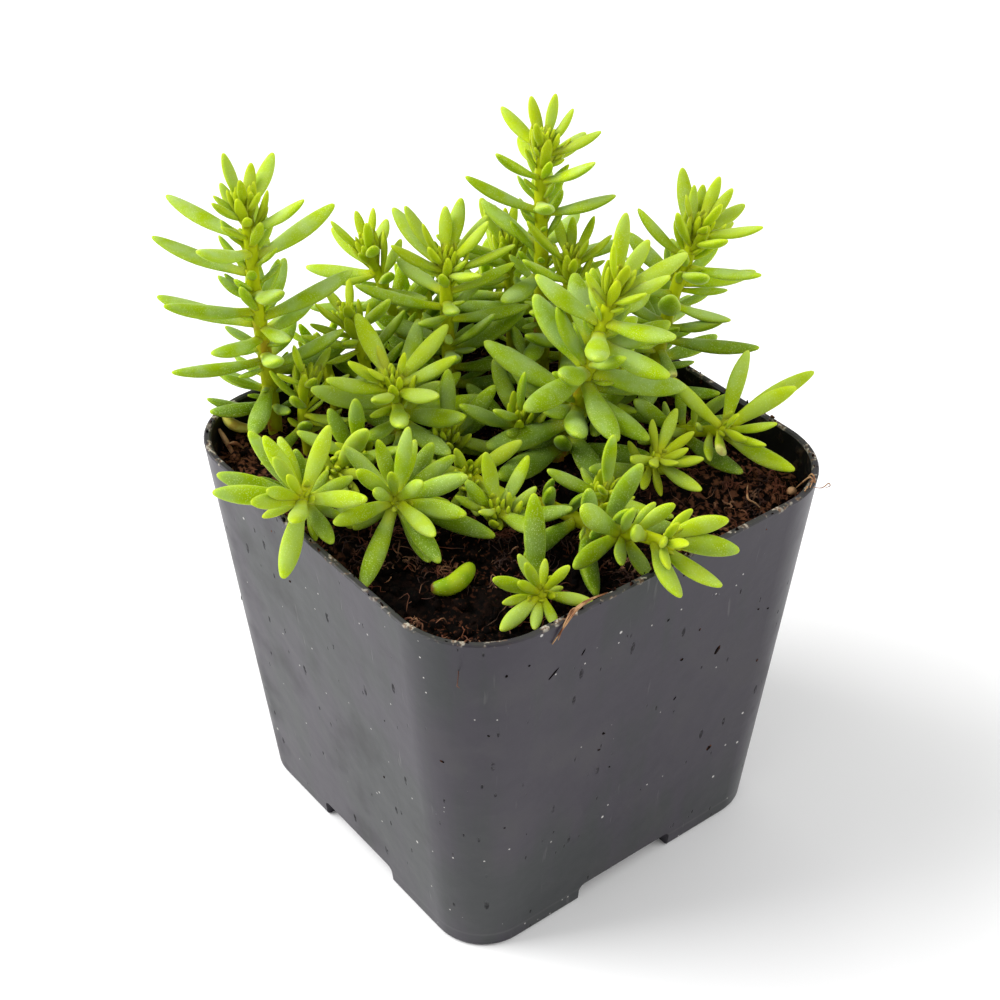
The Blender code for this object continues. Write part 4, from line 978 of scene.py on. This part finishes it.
def clear_of_plants(balls, others):
    """Whether a leaf's balls keep clear of the other stems and their leaves."""
    if not len(others):
        return True
    mine = np.array(balls)
    apart = np.linalg.norm(mine[:, None, :3] - others[None, :, :3], axis=2)
    return bool((apart > mine[:, None, 3] + others[None, :, 3] + CLEAR).all())


def grown_leaf(stem, spot, line, reach):
    """Root and reach of a leaf that grows out of the stem's side, with its root sunk well in."""
    outward = (reach - line * reach.dot(line)).normalized() * stem["thick"] / 2
    root = spot + outward * (1 - ROOT_DEPTH)
    return root, spot + outward + line * LEAF_RISE + reach - root, line


def swing(line, turn, opening, length):
    """A leaf's reach, turned round its stem's line and opened by degrees, and its outward side."""
    side = line.orthogonal().normalized()
    outward = side * math.cos(turn) + line.cross(side) * math.sin(turn)
    opening = math.radians(opening)
    return (outward * math.sin(opening) + line * math.cos(opening)) * length, outward


def wished_leaves(stem):
    """The listed leaves, then those of the spiral rule, from root to tip."""
    wishes = []
    for percent, across, up, towards in stem["leaves"]:
        spot, line = along(stem["above"], percent / 100)
        right, rise, to_eye = eye_axes(spot)
        wishes.append(grown_leaf(stem, spot, line, right * across + rise * up + to_eye * towards))
    count, lowest, highest, length = stem["spiral"]
    low, high = lowest / 100, highest / 100
    draw = random.Random(stem["name"])
    for k in range(count):
        share = low + (high - low) * k / max(1, count - 1)
        spot, line = along(stem["above"], share)
        turn = GOLDEN_ANGLE * k + draw.uniform(-DRAW_TURN, DRAW_TURN)
        young = max(0, (share - YOUNG_FROM) / (1 - YOUNG_FROM))
        opening = OPEN_OLD - OPEN_LESS * young ** OPEN_CURVE + draw.uniform(-DRAW_OPEN, DRAW_OPEN)
        size = length * (1 - YOUNG_SHORTER * young ** 2) * draw.uniform(*DRAW_SIZE)
        wishes.append(grown_leaf(stem, spot, line, swing(line, turn, opening, size)[0]))
    return wishes


def fallen_balls():
    """Balls for the fallen leaf, which lies on the soil."""
    balls = []
    for across, near in FALLEN_LEAF:
        spot = seen(across, near, 0)
        height = soil_height(spot.x, spot.y) + GAP + FALLEN_THICK / 2
        balls.append((spot.x, spot.y, height, FALLEN_THICK / 2))
    return balls


def balls_of_others(placed, stem):
    """The balls of everything placed so far but one stem and its leaves."""
    return np.array([ball for name, balls in placed.items() if name != stem["name"] for ball in balls])


def settle_leaves(stems):
    """Give every leaf its place: as wished, or turned and shortened a little to stay clear."""
    placed = {stem["name"]: stem_balls(stem) for stem in stems}
    placed["fallen_leaf"] = fallen_balls()
    for stem in stems:
        stem["settled"] = []
        others = balls_of_others(placed, stem)
        for root, reach, line in wished_leaves(stem):
            leaf = settle_leaf(root, reach, line, others)
            if leaf:
                stem["settled"].append(leaf)
                placed[stem["name"]].extend(leaf_balls(leaf))
    return placed


def settle_leaf(root, reach, line, others):
    """The first of the tried lengths, lifts and pushes that keeps a leaf clear, or none."""
    rise, to_eye = eye_axes(root)[1:]
    for shrink in TRIED_LENGTHS:
        for lift in TRIED_LIFTS:
            for push in TRIED_PUSHES:
                tried = reach * shrink + rise * lift + to_eye * push
                if tried.length > LEAF_LONGEST:
                    continue
                leaf = leaf_shape(root, tried, line)
                balls = leaf_balls(leaf)
                if clear_of_pot(balls) and clear_of_plants(balls, others):
                    return leaf
    return None


# The shoots that end in an open rosette; how far a shoot's leaves turn their upper side to the
# eye; how broad its young and its old leaves are; and how much older they look than the rest
ROSETTES = ("stem_front_creeping", "stem_front_rosette", "stem_left_rosette", "stem_right_rosette",
            "stem_right_low", "stem_front_low")
TURNED = {"stem_front_creeping": 1.0, "stem_front_rosette": 0.7, "stem_left_rosette": 0.7,
          "stem_right_rosette": 0.8, "stem_right_low": 0.8, "stem_front_low": 0.8,
          "stem_front_upright": 0.6, "stem_middle_tall": 0.6}
BROAD = {"stem_middle_tall": (0.82, 1.32), "stem_front_upright": (0.88, 1.1),
         "stem_front_rosette": (0.90, 0.96), "stem_left_rosette": (0.90, 0.96),
         "stem_front_low": (0.88, 0.94), "stem_right_low": (0.88, 0.94),
         "stem_right_rosette": (0.88, 0.94), "stem_front_creeping": (1.05, 1.1)}
OLDER = {"stem_front_rosette": 0.2, "stem_front_low": 0.2, "stem_left_rosette": 0.1}
# Two leaves have lost their tips, and one has withered and hangs over the soil
BROKEN = {("stem_right_rosette", 3): 0.62, ("stem_right_back", 0): 0.8}
WITHERED = ("stem_left_tall", 0)
WITHERED_LINE = ((-33.5, -8.4, 57.4), (-38.6, -6.0, 57.2), (-39.5, -8.8, 60.2))
WITHERED_WIDTH = 3.4
LEAF_SEGMENTS = 8
LEAF_OUTLINE = ((0.0, 0.0), (0.02, 0.66), (0.13, 0.52), (0.30, 0.79), (0.50, 1.0), (0.68, 0.95),
                (0.84, 0.71), (0.955, 0.37), (1.0, 0.0))
LEAF_FULL = 1.09
ASIDE = 10
LEAF_UPPER = 0.62
LEAF_LOWER = 0.92
LEAF_WIDE = (0.90, 1.0)
LEAF_SHORT = 4.0
LEAF_GROWN = 8.0
LEAF_SHORT_SLIM = 0.74
LEAF_WIDTH_DRAW = (0.92, 1.08)
LEAF_ROLL = 0.22
AGE_FROM = 1.2
AGE_REACH = 14.0
AGE_BY_PLACE = 0.6
AGE_SHORT = 3.0
AGE_GROWN = 9.0
AGE_DRAW = (-0.1, 0.12)
# Painted shade: the leaves of shoots without listed leaves, hidden in among the rest, are given this much
# older and darker colour
AGE_PAINTED_SHADE = 0.25
# The tiny leaves of a tip: how many, their lengths and how far they open, innermost first
TIP_BUDS = (12, (2.2, 6.6), (4, 25))
TIP_DOWN = 4.2
STEM_SLIM = 0.72
STEM_SMOOTH = 6
STEM_BURIED = 2.0
ROSETTE_BUDS = (6, (1.3, 2.9), (10, 42))
BUD_SINK = 0.9
BUD_SIDE = 0.5
NODE_SWELL = 0.13
NODE_REACH = 0.8
NODE_ABOVE = 0.3
NODE_NONE = 9.0
TUBE_STEP = 0.8
SMALL_SPACING = 0.6
SMALL_FROM = 0.04
SMALL_TO = 0.95
SMALL_TO_ROSETTE = 0.74
SMALL_CROWD = 74
SMALL_DEEP = (6.0, 13.0)
SMALL_BARE = (2.8, 6.0)
SMALL_BARE_BROAD = 1.08
SMALL_TURN = 1.9
SMALL_OPEN = (52, 84)
SMALL_BARE_OPEN = (20, 56)
SMALL_TRIES = (1.0, 0.82, 0.66, 0.5, 0.36)
OWN_FROM = 2

bpy.ops.object.select_all(action="DESELECT")
bpy.ops.mesh.primitive_uv_sphere_add(segments=LEAF_SEGMENTS, ring_count=len(LEAF_OUTLINE) - 1, radius=1)
leaf_master = bpy.context.object
leaf_master.name = "leaf_master"
bpy.ops.object.mode_set(mode="EDIT")
bpy.ops.mesh.select_mode(type="VERT")
for k, (t, width) in enumerate(LEAF_OUTLINE):
    polar = math.pi * (1 - k / (len(LEAF_OUTLINE) - 1))
    level, radius = math.cos(polar), math.sin(polar)
    bpy.ops.mesh.select_all(action="DESELECT")
    bpy.ops.object.mode_set(mode="OBJECT")
    for vert in leaf_master.data.vertices:
        vert.select = abs(vert.co.z - level) < 0.01 and abs(vert.co.xy.length - radius) < 0.01
    bpy.ops.object.mode_set(mode="EDIT")
    bpy.ops.transform.translate(value=(0, 0, ASIDE + t - level))
    if width:
        wide = width * LEAF_FULL / radius
        bpy.ops.transform.resize(value=(wide, wide, 1), center_override=(0, 0, 0))
bpy.ops.mesh.select_all(action="SELECT")
bpy.ops.transform.translate(value=(0, 0, -ASIDE))
bpy.ops.object.mode_set(mode="OBJECT")
for side, thick in ((1, LEAF_UPPER), (-1, LEAF_LOWER)):
    for vert in leaf_master.data.vertices:
        vert.select = vert.co.y * side > 0.001
    bpy.ops.object.mode_set(mode="EDIT")
    bpy.ops.transform.resize(value=(1, thick, 1), center_override=(0, 0, 0))
    bpy.ops.mesh.select_all(action="DESELECT")
    bpy.ops.object.mode_set(mode="OBJECT")


def note(mesh, name, values):
    """Keep one number for each point of a mesh, for its material to read."""
    kept = mesh.attributes.new(name, "FLOAT", "POINT")
    kept.data.foreach_set("value", values)


def clamp(value):
    """A value held between 0 and 1."""
    return min(1.0, max(0.0, value))


def draw_leaf(leaf, age, draw, dry=0.0, broken=1.0):
    """A copy of the master leaf, bent along a leaf's own line, with its age and tone noted."""
    root, bend, tip = leaf["line"]
    reach = tip - root
    line = reach.normalized()
    face = leaf["face"] + eye_axes(root)[2] * leaf["turned"]
    face = (face - line * face.dot(line)).normalized()
    face = Matrix.Rotation(draw.uniform(-LEAF_ROLL, LEAF_ROLL), 3, line) @ face
    age = clamp(age)
    grown = clamp((reach.length - LEAF_SHORT) / (LEAF_GROWN - LEAF_SHORT))
    wide = leaf["width"] / 2 * draw.uniform(*LEAF_WIDTH_DRAW)
    wide *= LEAF_SHORT_SLIM + (1 - LEAF_SHORT_SLIM) * grown
    wide *= leaf["broad"][0] + (leaf["broad"][1] - leaf["broad"][0]) * age
    across = reach.cross(face).normalized()
    points = [vert.co.copy() for vert in leaf_master.data.vertices]

    def reshape(point):
        t = min(point.z, broken)
        line = ((bend - root) * (1 - t) + (tip - bend) * t).normalized()
        rise = (face - line * face.dot(line)).normalized()
        return (leaf_point(leaf, t) + (across * point.x + rise * point.y) * wide) * MM
    made = stamp(leaf_master, "leaf", reshape)
    note(made.data, "along", [point.z for point in points])
    note(made.data, "edge", [abs(point.x) / LEAF_FULL / max(leaf_width(point.z), 0.2) for point in points])
    note(made.data, "upper", [clamp(0.5 + 2 * point.y) for point in points])
    note(made.data, "age", [age] * len(points))
    note(made.data, "tone", [draw.random()] * len(points))
    note(made.data, "dry", [dry] * len(points))
    note(made.data, "torn", [float(point.z > broken) for point in points])
    return made


def bud_leaf(head, line, share, lengths, angles, turn):
    """One of the tiny leaves that close the tip of a shoot."""
    length = lengths[1] + (lengths[0] - lengths[1]) * share
    reach, outward = swing(line, turn, angles[1] + (angles[0] - angles[1]) * share, length)
    sunk = BUD_SINK + TIP_DOWN * (1 - share) * (lengths[1] / TIP_BUDS[1][1]) ** 2
    leaf = leaf_shape(head - line * sunk + outward * BUD_SIDE, reach, line)
    leaf.update(turned=0.0, broad=LEAF_WIDE)
    return leaf


def draw_stem(stem):
    """The round stem of a shoot, swollen a little where each leaf grows."""
    path = smooth_path(stem["route"], STEM_SMOOTH)
    length = sum((b - a).length for a, b in zip(path, path[1:]))
    roots = [leaf["line"][0] for leaf in stem["settled"]]
    steps = max(4, round(length / TUBE_STEP))
    thick = stem["thick"] / 2 * STEM_SLIM
    route = [(path[0] - UP * STEM_BURIED, thick)]
    for k in range(steps + 1):
        point, _ = along(path, k / steps)
        near = min([(point - root).length for root in roots] + [NODE_NONE])
        swell = 1 + NODE_SWELL * math.exp(-((near - thick * NODE_ABOVE) / NODE_REACH) ** 2)
        route.append((point, thick * (1 - STEM_TAPER * k / steps) * swell))
    tube = threads("stem", [route], 3)
    foot = path[0].z
    note(tube.data, "age", [clamp(1 - (vert.co.z / MM - foot) / (path[-1].z - foot))
                            for vert in tube.data.vertices])
    return tube


def inside_box(spot):
    """Whether a point stays inside the box of the whole object."""
    return all(low < place * MM < high for low, place, high in zip(cad_box[0], spot, cad_box[1]))


def fill_out(shoots, placed):
    """Add the many smaller leaves that the solids leave out, each where there is room for it."""
    for shoot in shoots:
        draw = random.Random(shoot["name"] + " small leaves")
        others = balls_of_others(placed, shoot)
        path = shoot["above"]
        length = sum((b - a).length for a, b in zip(path, path[1:]))
        top = SMALL_TO_ROSETTE if shoot["name"] in ROSETTES else SMALL_TO
        count = round(length * (top - SMALL_FROM) / SMALL_SPACING)
        shoot["small"] = []
        outer = [ball for leaf in shoot["settled"] for ball in leaf_balls(leaf)[OWN_FROM:]]
        for k in range(count):
            share = SMALL_FROM + (top - SMALL_FROM) * (k + 0.5) / count
            spot, line = along(path, share)
            bare = spot.z > SMALL_CROWD
            turn = GOLDEN_ANGLE * k + SMALL_TURN + draw.uniform(-DRAW_TURN, DRAW_TURN)
            opening = draw.uniform(*(SMALL_BARE_OPEN if bare else SMALL_OPEN))
            reach, _ = swing(line, turn, opening, draw.uniform(*(SMALL_BARE if bare else SMALL_DEEP)))
            root, reach, line = grown_leaf(shoot, spot, line, reach)
            for shrink in SMALL_TRIES:
                leaf = leaf_shape(root, reach * shrink, line)
                leaf["width"] *= SMALL_BARE_BROAD if bare else 1.0
                balls = leaf_balls(leaf)
                apart = balls[-1:] if bare else balls[1:]
                clear = clear_of_plants(balls, others) and clear_of_plants(apart, np.array(outer))
                if clear and clear_of_pot(balls) and inside_box(leaf["line"][2]):
                    shoot["small"].append(leaf)
                    outer.extend(balls[OWN_FROM:])
                    placed[shoot["name"]].extend(balls)
                    break


def glow_within(shader, weight, red_share, depth):
    """Let light sink into a leaf or stem, red light a little less far than green, and blue hardly."""
    shader.inputs["Subsurface Weight"].default_value = weight
    shader.inputs["Subsurface Radius"].default_value = (red_share, 1.0, 0.12)
    shader.inputs["Subsurface Scale"].default_value = depth * MM


LEAF_YOUNG = (0.40, 0.48, 0.008, 1)
LEAF_BRIGHT = (0.365, 0.47, 0.006, 1)
LEAF_MATURE = (0.35, 0.485, 0.003, 1)
LEAF_OLD = (0.28, 0.42, 0.003, 1)
LEAF_UNDERSIDE_SHADE = (0.24, 0.38, 0.002, 1)
LEAF_PAINTED_SHADE = (0.105, 0.195, 0.001, 1)
PAINTED_SHADE_HEIGHTS = (57.0, 72.0)
LEAF_BLOOM_AND_SHEEN = (0.42, 0.56, 0.23, 1)
LEAF_BASE = (0.46, 0.51, 0.006, 1)
LEAF_EDGE = (0.50, 0.62, 0.05, 1)
LEAF_GRAIN = (0.56, 0.68, 0.25, 1)
LEAF_TORN = (0.66, 0.70, 0.20, 1)
LEAF_TORN_DRY = (0.60, 0.56, 0.16, 1)
LEAF_DRY = (0.60, 0.56, 0.10, 1)
LEAF_DRY_BROWN = (0.46, 0.35, 0.06, 1)
SHEEN_TINT = (0.86, 1.0, 0.74, 1)
leaf_skin, tree, shader, place = new_finish("leaf_skin", 0.42, 0.04)
read = {name: add_node(tree, "ShaderNodeAttribute", attribute_name=name).outputs["Fac"]
        for name in ("along", "edge", "upper", "age", "tone", "dry", "torn")}
aged = plus(tree, read["age"], reckon(tree, "SUBTRACT", cloudy(tree, place, 5.0), 0.5), 0.4)
aged = reckon(tree, "ADD", aged, between(tree, read["along"], 0.0, 0.45, -0.2, 0.0))
colour = coat(tree, LEAF_YOUNG, LEAF_BRIGHT, between(tree, aged, 0.0, 0.3))
colour = coat(tree, colour, LEAF_MATURE, between(tree, aged, 0.25, 0.6))
colour = coat(tree, colour, LEAF_OLD, between(tree, aged, 0.6, 1.1))
# Partly real, partly painted: a pale waxy bloom, laid only on the upper sides as a painted sheen where light
# from above falls
bloom_and_painted_sheen = times(tree, read["upper"], between(tree, aged, 0.0, 0.8, 0.1, 0.62))
colour = coat(tree, colour, LEAF_BLOOM_AND_SHEEN, times(tree, bloom_and_painted_sheen, patches(tree, place, 4.0, 3.0, 0.35, 0.65)))
# Painted shade: the lower sides of the older leaves are darkened, as if turned away from the light above
under = times(tree, reckon(tree, "SUBTRACT", 1.0, read["upper"]), between(tree, aged, 0.1, 0.6))
colour = coat(tree, colour, LEAF_UNDERSIDE_SHADE, under, 0.6)
# Painted shade: older leaves low down, from 72 mm down to 57 mm above the table, turn dark green where the
# foliage above shades them
painted_low_shade = between(tree, height_of(tree, place), *PAINTED_SHADE_HEIGHTS, 0.85, 0.0)
colour = coat(tree, colour, LEAF_PAINTED_SHADE, times(tree, painted_low_shade, between(tree, aged, 0.3, 0.75)))
colour = coat(tree, colour, LEAF_BASE, between(tree, read["along"], 0.04, 0.3, 1.0, 0.0), 0.7)
tip = between(tree, read["along"], 0.88, 1.0)
rim = reckon(tree, "MAXIMUM", between(tree, read["edge"], 0.75, 1.05), tip)
colour = coat(tree, colour, LEAF_EDGE, rim, 0.35)
fine = times(tree, specks(tree, place, 0.19, 0.075, 0.6), 0.75)
grain = reckon(tree, "MAXIMUM", specks(tree, place, 0.27, 0.1, 0.55), fine)
grain = times(tree, grain, patches(tree, place, 2.6, 3.0, 0.35, 0.65, 0.35, 1.0))
grain = times(tree, grain, between(tree, aged, 0.0, 0.7, 0.2, 0.58))
colour = coat(tree, colour, LEAF_GRAIN, grain)
colour = coat(tree, colour, LEAF_OLD, patches(tree, place, 1.6, 4.0, 0.6, 0.75), 0.22)
torn = coat(tree, LEAF_TORN, LEAF_TORN_DRY, patches(tree, place, 0.5, 3.0, 0.4, 0.6))
colour = coat(tree, colour, torn, read["torn"])
withered = coat(tree, LEAF_DRY, LEAF_DRY_BROWN, patches(tree, place, 2.0, 4.0, 0.4, 0.6))
colour = coat(tree, colour, withered, read["dry"])
bright = between(tree, read["tone"], 0.0, 1.0, 0.88, 1.12)
toned = add_node(tree, "ShaderNodeHueSaturation", {"Value": bright, "Color": colour}).outputs[0]
dress(tree, shader, toned, plus(tree, cloudy(tree, place, 0.28, 2.0), grain, 0.5), 0.035)
glow_within(shader, 0.5, 0.8, 1.8)
shader.inputs["Sheen Weight"].default_value = 0.15
shader.inputs["Sheen Roughness"].default_value = 0.28
shader.inputs["Sheen Tint"].default_value = SHEEN_TINT

STEM_YOUNG = (0.47, 0.55, 0.006, 1)
STEM_OLD = (0.40, 0.43, 0.008, 1)
STEM_NODE = (0.36, 0.13, 0.02, 1)
stem_skin, tree, shader, place = new_finish("stem_skin", 0.45, 0.1)
low = add_node(tree, "ShaderNodeAttribute", attribute_name="age").outputs["Fac"]
colour = coat(tree, STEM_YOUNG, STEM_OLD, between(tree, low, 0.25, 0.9))
flush = times(tree, patches(tree, place, 2.2, 3.0, 0.53, 0.66), between(tree, low, 0.3, 0.95, 0.08, 0.9))
colour = coat(tree, colour, STEM_NODE, flush)
colour = coat(tree, colour, LEAF_EDGE, specks(tree, place, 0.4, 0.1, 0.35))
dress(tree, shader, colour, cloudy(tree, place, 0.7, 3.0), 0.12)
glow_within(shader, 0.5, 0.9, 1.4)

shoots = []
for name, thick, points, leaves, spiral in STEMS:
    route = [seen(*point) for point in points]
    shoots.append({"name": name, "thick": thick, "route": route, "above": smooth_path(route, 2),
                   "leaves": leaves, "spiral": spiral})
fill_out(shoots, settle_leaves(shoots))
for shoot in shoots:
    name = shoot["name"]
    draw = random.Random(name + " looks")
    head, line = along(shoot["above"], 1.0)
    made = []
    for k, leaf in enumerate(shoot["settled"] + shoot["small"]):
        below = (head - leaf["line"][0]).length - AGE_FROM
        grown = ((leaf["line"][2] - leaf["line"][0]).length - AGE_SHORT) / AGE_GROWN
        age = min(1.0, below / AGE_REACH) * AGE_BY_PLACE + clamp(grown) * (1 - AGE_BY_PLACE)
        age += draw.uniform(*AGE_DRAW) + OLDER.get(name, 0 if shoot["leaves"] else AGE_PAINTED_SHADE)
        leaf.update(turned=TURNED.get(name, 0.0), broad=BROAD.get(name, LEAF_WIDE))
        withers = (name, k) == WITHERED
        if withers:
            leaf.update(line=[seen(*point) for point in WITHERED_LINE], width=WITHERED_WIDTH)
        made.append(draw_leaf(leaf, age, draw, float(withers), BROKEN.get((name, k), 1.0)))
    count, lengths, angles = ROSETTE_BUDS if name in ROSETTES else TIP_BUDS
    for k in range(count):
        turn = GOLDEN_ANGLE * k + draw.uniform(-DRAW_TURN, DRAW_TURN)
        made.append(draw_leaf(bud_leaf(head, line, k / (count - 1), lengths, angles, turn), 0.0, draw))
    for leaf in made:
        leaf.data.materials.clear()
        leaf.data.materials.append(leaf_skin)
    tube = draw_stem(shoot)
    tube.data.materials.append(stem_skin)
    leafy = join_pieces(made + [tube], "leafy_" + name)
    smooth = leafy.modifiers.new("plump", "SUBSURF")
    smooth.levels = 1
    smooth.render_levels = 1
    bpy.ops.object.shade_smooth()
    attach(leafy, "root")
    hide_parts(name)
bpy.data.objects.remove(leaf_master, do_unlink=True)

# Dry bits
# What has blown or grown onto the pot: a torn tan fibre over the front of the rim, a tuft and a
# hair at the right corner, a pale rootlet, a lump of husk and a broken twig in the left corner.
# Each is its radius, then its points as (across, near, height)
DRY_BITS = (
    (0.16, (5.2, 37.6, 57.2), (6.8, 36.8, 59.6), (8.2, 35.5, 60.9), (10.0, 33.6, 60.9),
     (11.6, 32.2, 60.5)),
    (0.11, (5.9, 37.7, 57.9), (7.0, 36.4, 60.3), (9.0, 34.3, 61.0), (12.0, 31.8, 60.4)),
    (0.10, (6.4, 37.0, 59.0), (7.4, 35.8, 60.9), (8.4, 34.6, 60.4), (9.6, 32.0, 59.5)),
    (0.08, (39.6, 10.0, 60.3), (40.7, 10.6, 60.6), (41.6, 10.1, 61.0), (41.8, 10.2, 60.6),
     (41.2, 10.4, 60.5)),
    (0.14, (38.2, 6.0, 57.2), (38.9, 6.6, 58.6), (39.6, 7.8, 60.3), (39.9, 9.4, 60.6)),
    (0.11, (38.6, 7.4, 57.0), (39.2, 8.0, 59.0), (39.7, 8.9, 60.5), (39.2, 10.4, 60.5)),
    (0.12, (39.4, 6.2, 58.6), (39.8, 7.0, 60.2), (40.0, 8.2, 60.7), (40.1, 9.0, 60.2)),
    (0.13, (37.8, 7.8, 56.4), (38.4, 8.6, 58.2), (39.0, 9.8, 60.2), (38.4, 11.0, 60.4)),
    (0.15, (32.1, 4.2, 56.4), (31.7, 6.6, 57.2), (31.6, 8.7, 57.4), (32.6, 8.5, 56.6),
     (33.4, 8.6, 55.8)),
    (0.62, (37.1, 6.0, 56.6), (37.7, 6.1, 56.8), (38.3, 6.3, 56.7)),
    (0.42, (-39.7, -6.0, 58.6), (-39.3, -5.6, 58.0), (-38.7, -5.0, 57.2), (-38.0, -4.4, 56.0),
     (-37.0, -3.0, 55.2)),
    (0.30, (-38.4, -4.7, 56.9), (-37.4, -4.9, 56.9), (-36.4, -5.0, 56.0)),
)
DRY_STEPS = 3
DRY_ENDS = 0.45
routes = []
for radius, *points in DRY_BITS:
    path = smooth_path([seen(*point) for point in points], DRY_STEPS)
    last = len(path) - 1
    routes.append([(point, radius * (DRY_ENDS + (1 - DRY_ENDS) * math.sin(math.pi * k / last)))
                   for k, point in enumerate(path)])
dry_bits = threads("dry_bits", routes, 1)
DRY_TAN = (0.46, 0.27, 0.13, 1)
DRY_RUST = (0.20, 0.075, 0.032, 1)
dry_skin, tree, shader, place = new_finish("dry_fibre", 0.7, 0.2)
colour = coat(tree, DRY_TAN, DRY_RUST, patches(tree, place, 1.8, 4.0, 0.42, 0.6))
dress(tree, shader, colour, cloudy(tree, place, 0.25, 3.0), 0.08)
dry_bits.data.materials.append(dry_skin)
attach(dry_bits, "root")

# Fallen leaf
# One bean-shaped leaf that has dropped off and lies on the soil near the front corner. Its torn
# end has dried brown.
FALLEN_STEPS = 9
FALLEN_END = 0.12
FALLEN_BLUNT = 0.6
FALLEN_FULL = 1.06
fallen_low, fallen_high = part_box("fallen_leaf")
path = smooth_path([seen(across, near, 0) for across, near in FALLEN_LEAF], FALLEN_STEPS)
middle = (fallen_low[2] + fallen_high[2]) / 2 / MM
route = []
for k in range(FALLEN_STEPS + 1):
    share = (1 - math.cos(math.pi * k / FALLEN_STEPS)) / 2
    centre, _ = along(path, share)
    plump = max(FALLEN_END, math.sin(math.pi * k / FALLEN_STEPS)) ** FALLEN_BLUNT
    route.append((centre + UP * middle, FALLEN_THICK / 2 * plump * FALLEN_FULL))
fallen = threads("dropped_leaf", [route], 3)
smooth = fallen.modifiers.new("plump", "SUBSURF")
smooth.levels = 1
smooth.render_levels = 1
FALLEN_GREEN = (0.20, 0.33, 0.003, 1)
FALLEN_YELLOW = (0.33, 0.44, 0.008, 1)
FALLEN_BROWN = (0.13, 0.06, 0.015, 1)
fallen_skin, tree, shader, place = new_finish("fallen_skin", 0.4, 0.15)
colour = coat(tree, FALLEN_GREEN, FALLEN_YELLOW, patches(tree, place, 3.0, 3.0, 0.35, 0.65))
colour = coat(tree, colour, LEAF_GRAIN, specks(tree, place, 0.27, 0.1, 0.4), 0.35)
torn = seen(*FALLEN_LEAF[0], middle) * MM
far = add_node(tree, "ShaderNodeVectorMath", {0: place, 1: torn}, operation="DISTANCE").outputs["Value"]
far = plus(tree, cloudy(tree, place, 0.8, 3.0), far, 1 / MM)
colour = coat(tree, colour, FALLEN_BROWN, between(tree, far, 1.0, 1.7, 1.0, 0.0))
dress(tree, shader, colour, cloudy(tree, place, 0.3, 2.0), 0.04)
glow_within(shader, 0.4, 0.8, 1.2)
fallen.data.materials.append(fallen_skin)
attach(fallen, "root")
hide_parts("fallen_leaf")

# Studio
# A plain pale floor and a white room, with a large soft light from the left of the camera and a
# weaker one from its right.
FLOOR_SIZE = 4.0
FLOOR_COLOUR = (0.97, 0.97, 0.97, 1)
bpy.ops.object.select_all(action="DESELECT")
bpy.ops.mesh.primitive_plane_add(size=FLOOR_SIZE)
floor = bpy.context.object
floor.name = "floor"
paper, tree, shader, place = new_finish("paper", 0.8, 0.2)
shader.inputs["Base Color"].default_value = FLOOR_COLOUR
floor.data.materials.append(paper)

ROOM_BRIGHTNESS = 0.63
KEY_POWER = 19.5
KEY_SIZE = 0.9
KEY_AT = (-0.62, -0.68, 0.85)
FILL_POWER = 4.0
FILL_SIZE = 0.8
FILL_AT = (0.66, 0.5, 0.7)
room = bpy.data.worlds.new("white_room")
room.use_nodes = True
room.node_tree.nodes["Background"].inputs["Color"].default_value = (1, 1, 1, 1)
room.node_tree.nodes["Background"].inputs["Strength"].default_value = ROOM_BRIGHTNESS
bpy.context.scene.world = room
for at, size, power in ((KEY_AT, KEY_SIZE, KEY_POWER), (FILL_AT, FILL_SIZE, FILL_POWER)):
    turn = Vector(at).to_track_quat("Z", "Y").to_euler()
    bpy.ops.object.light_add(type="AREA", location=at, rotation=turn)
    lamp = bpy.context.object
    lamp.data.size = size
    lamp.data.energy = power
bpy.context.scene.view_settings.view_transform = "Standard"
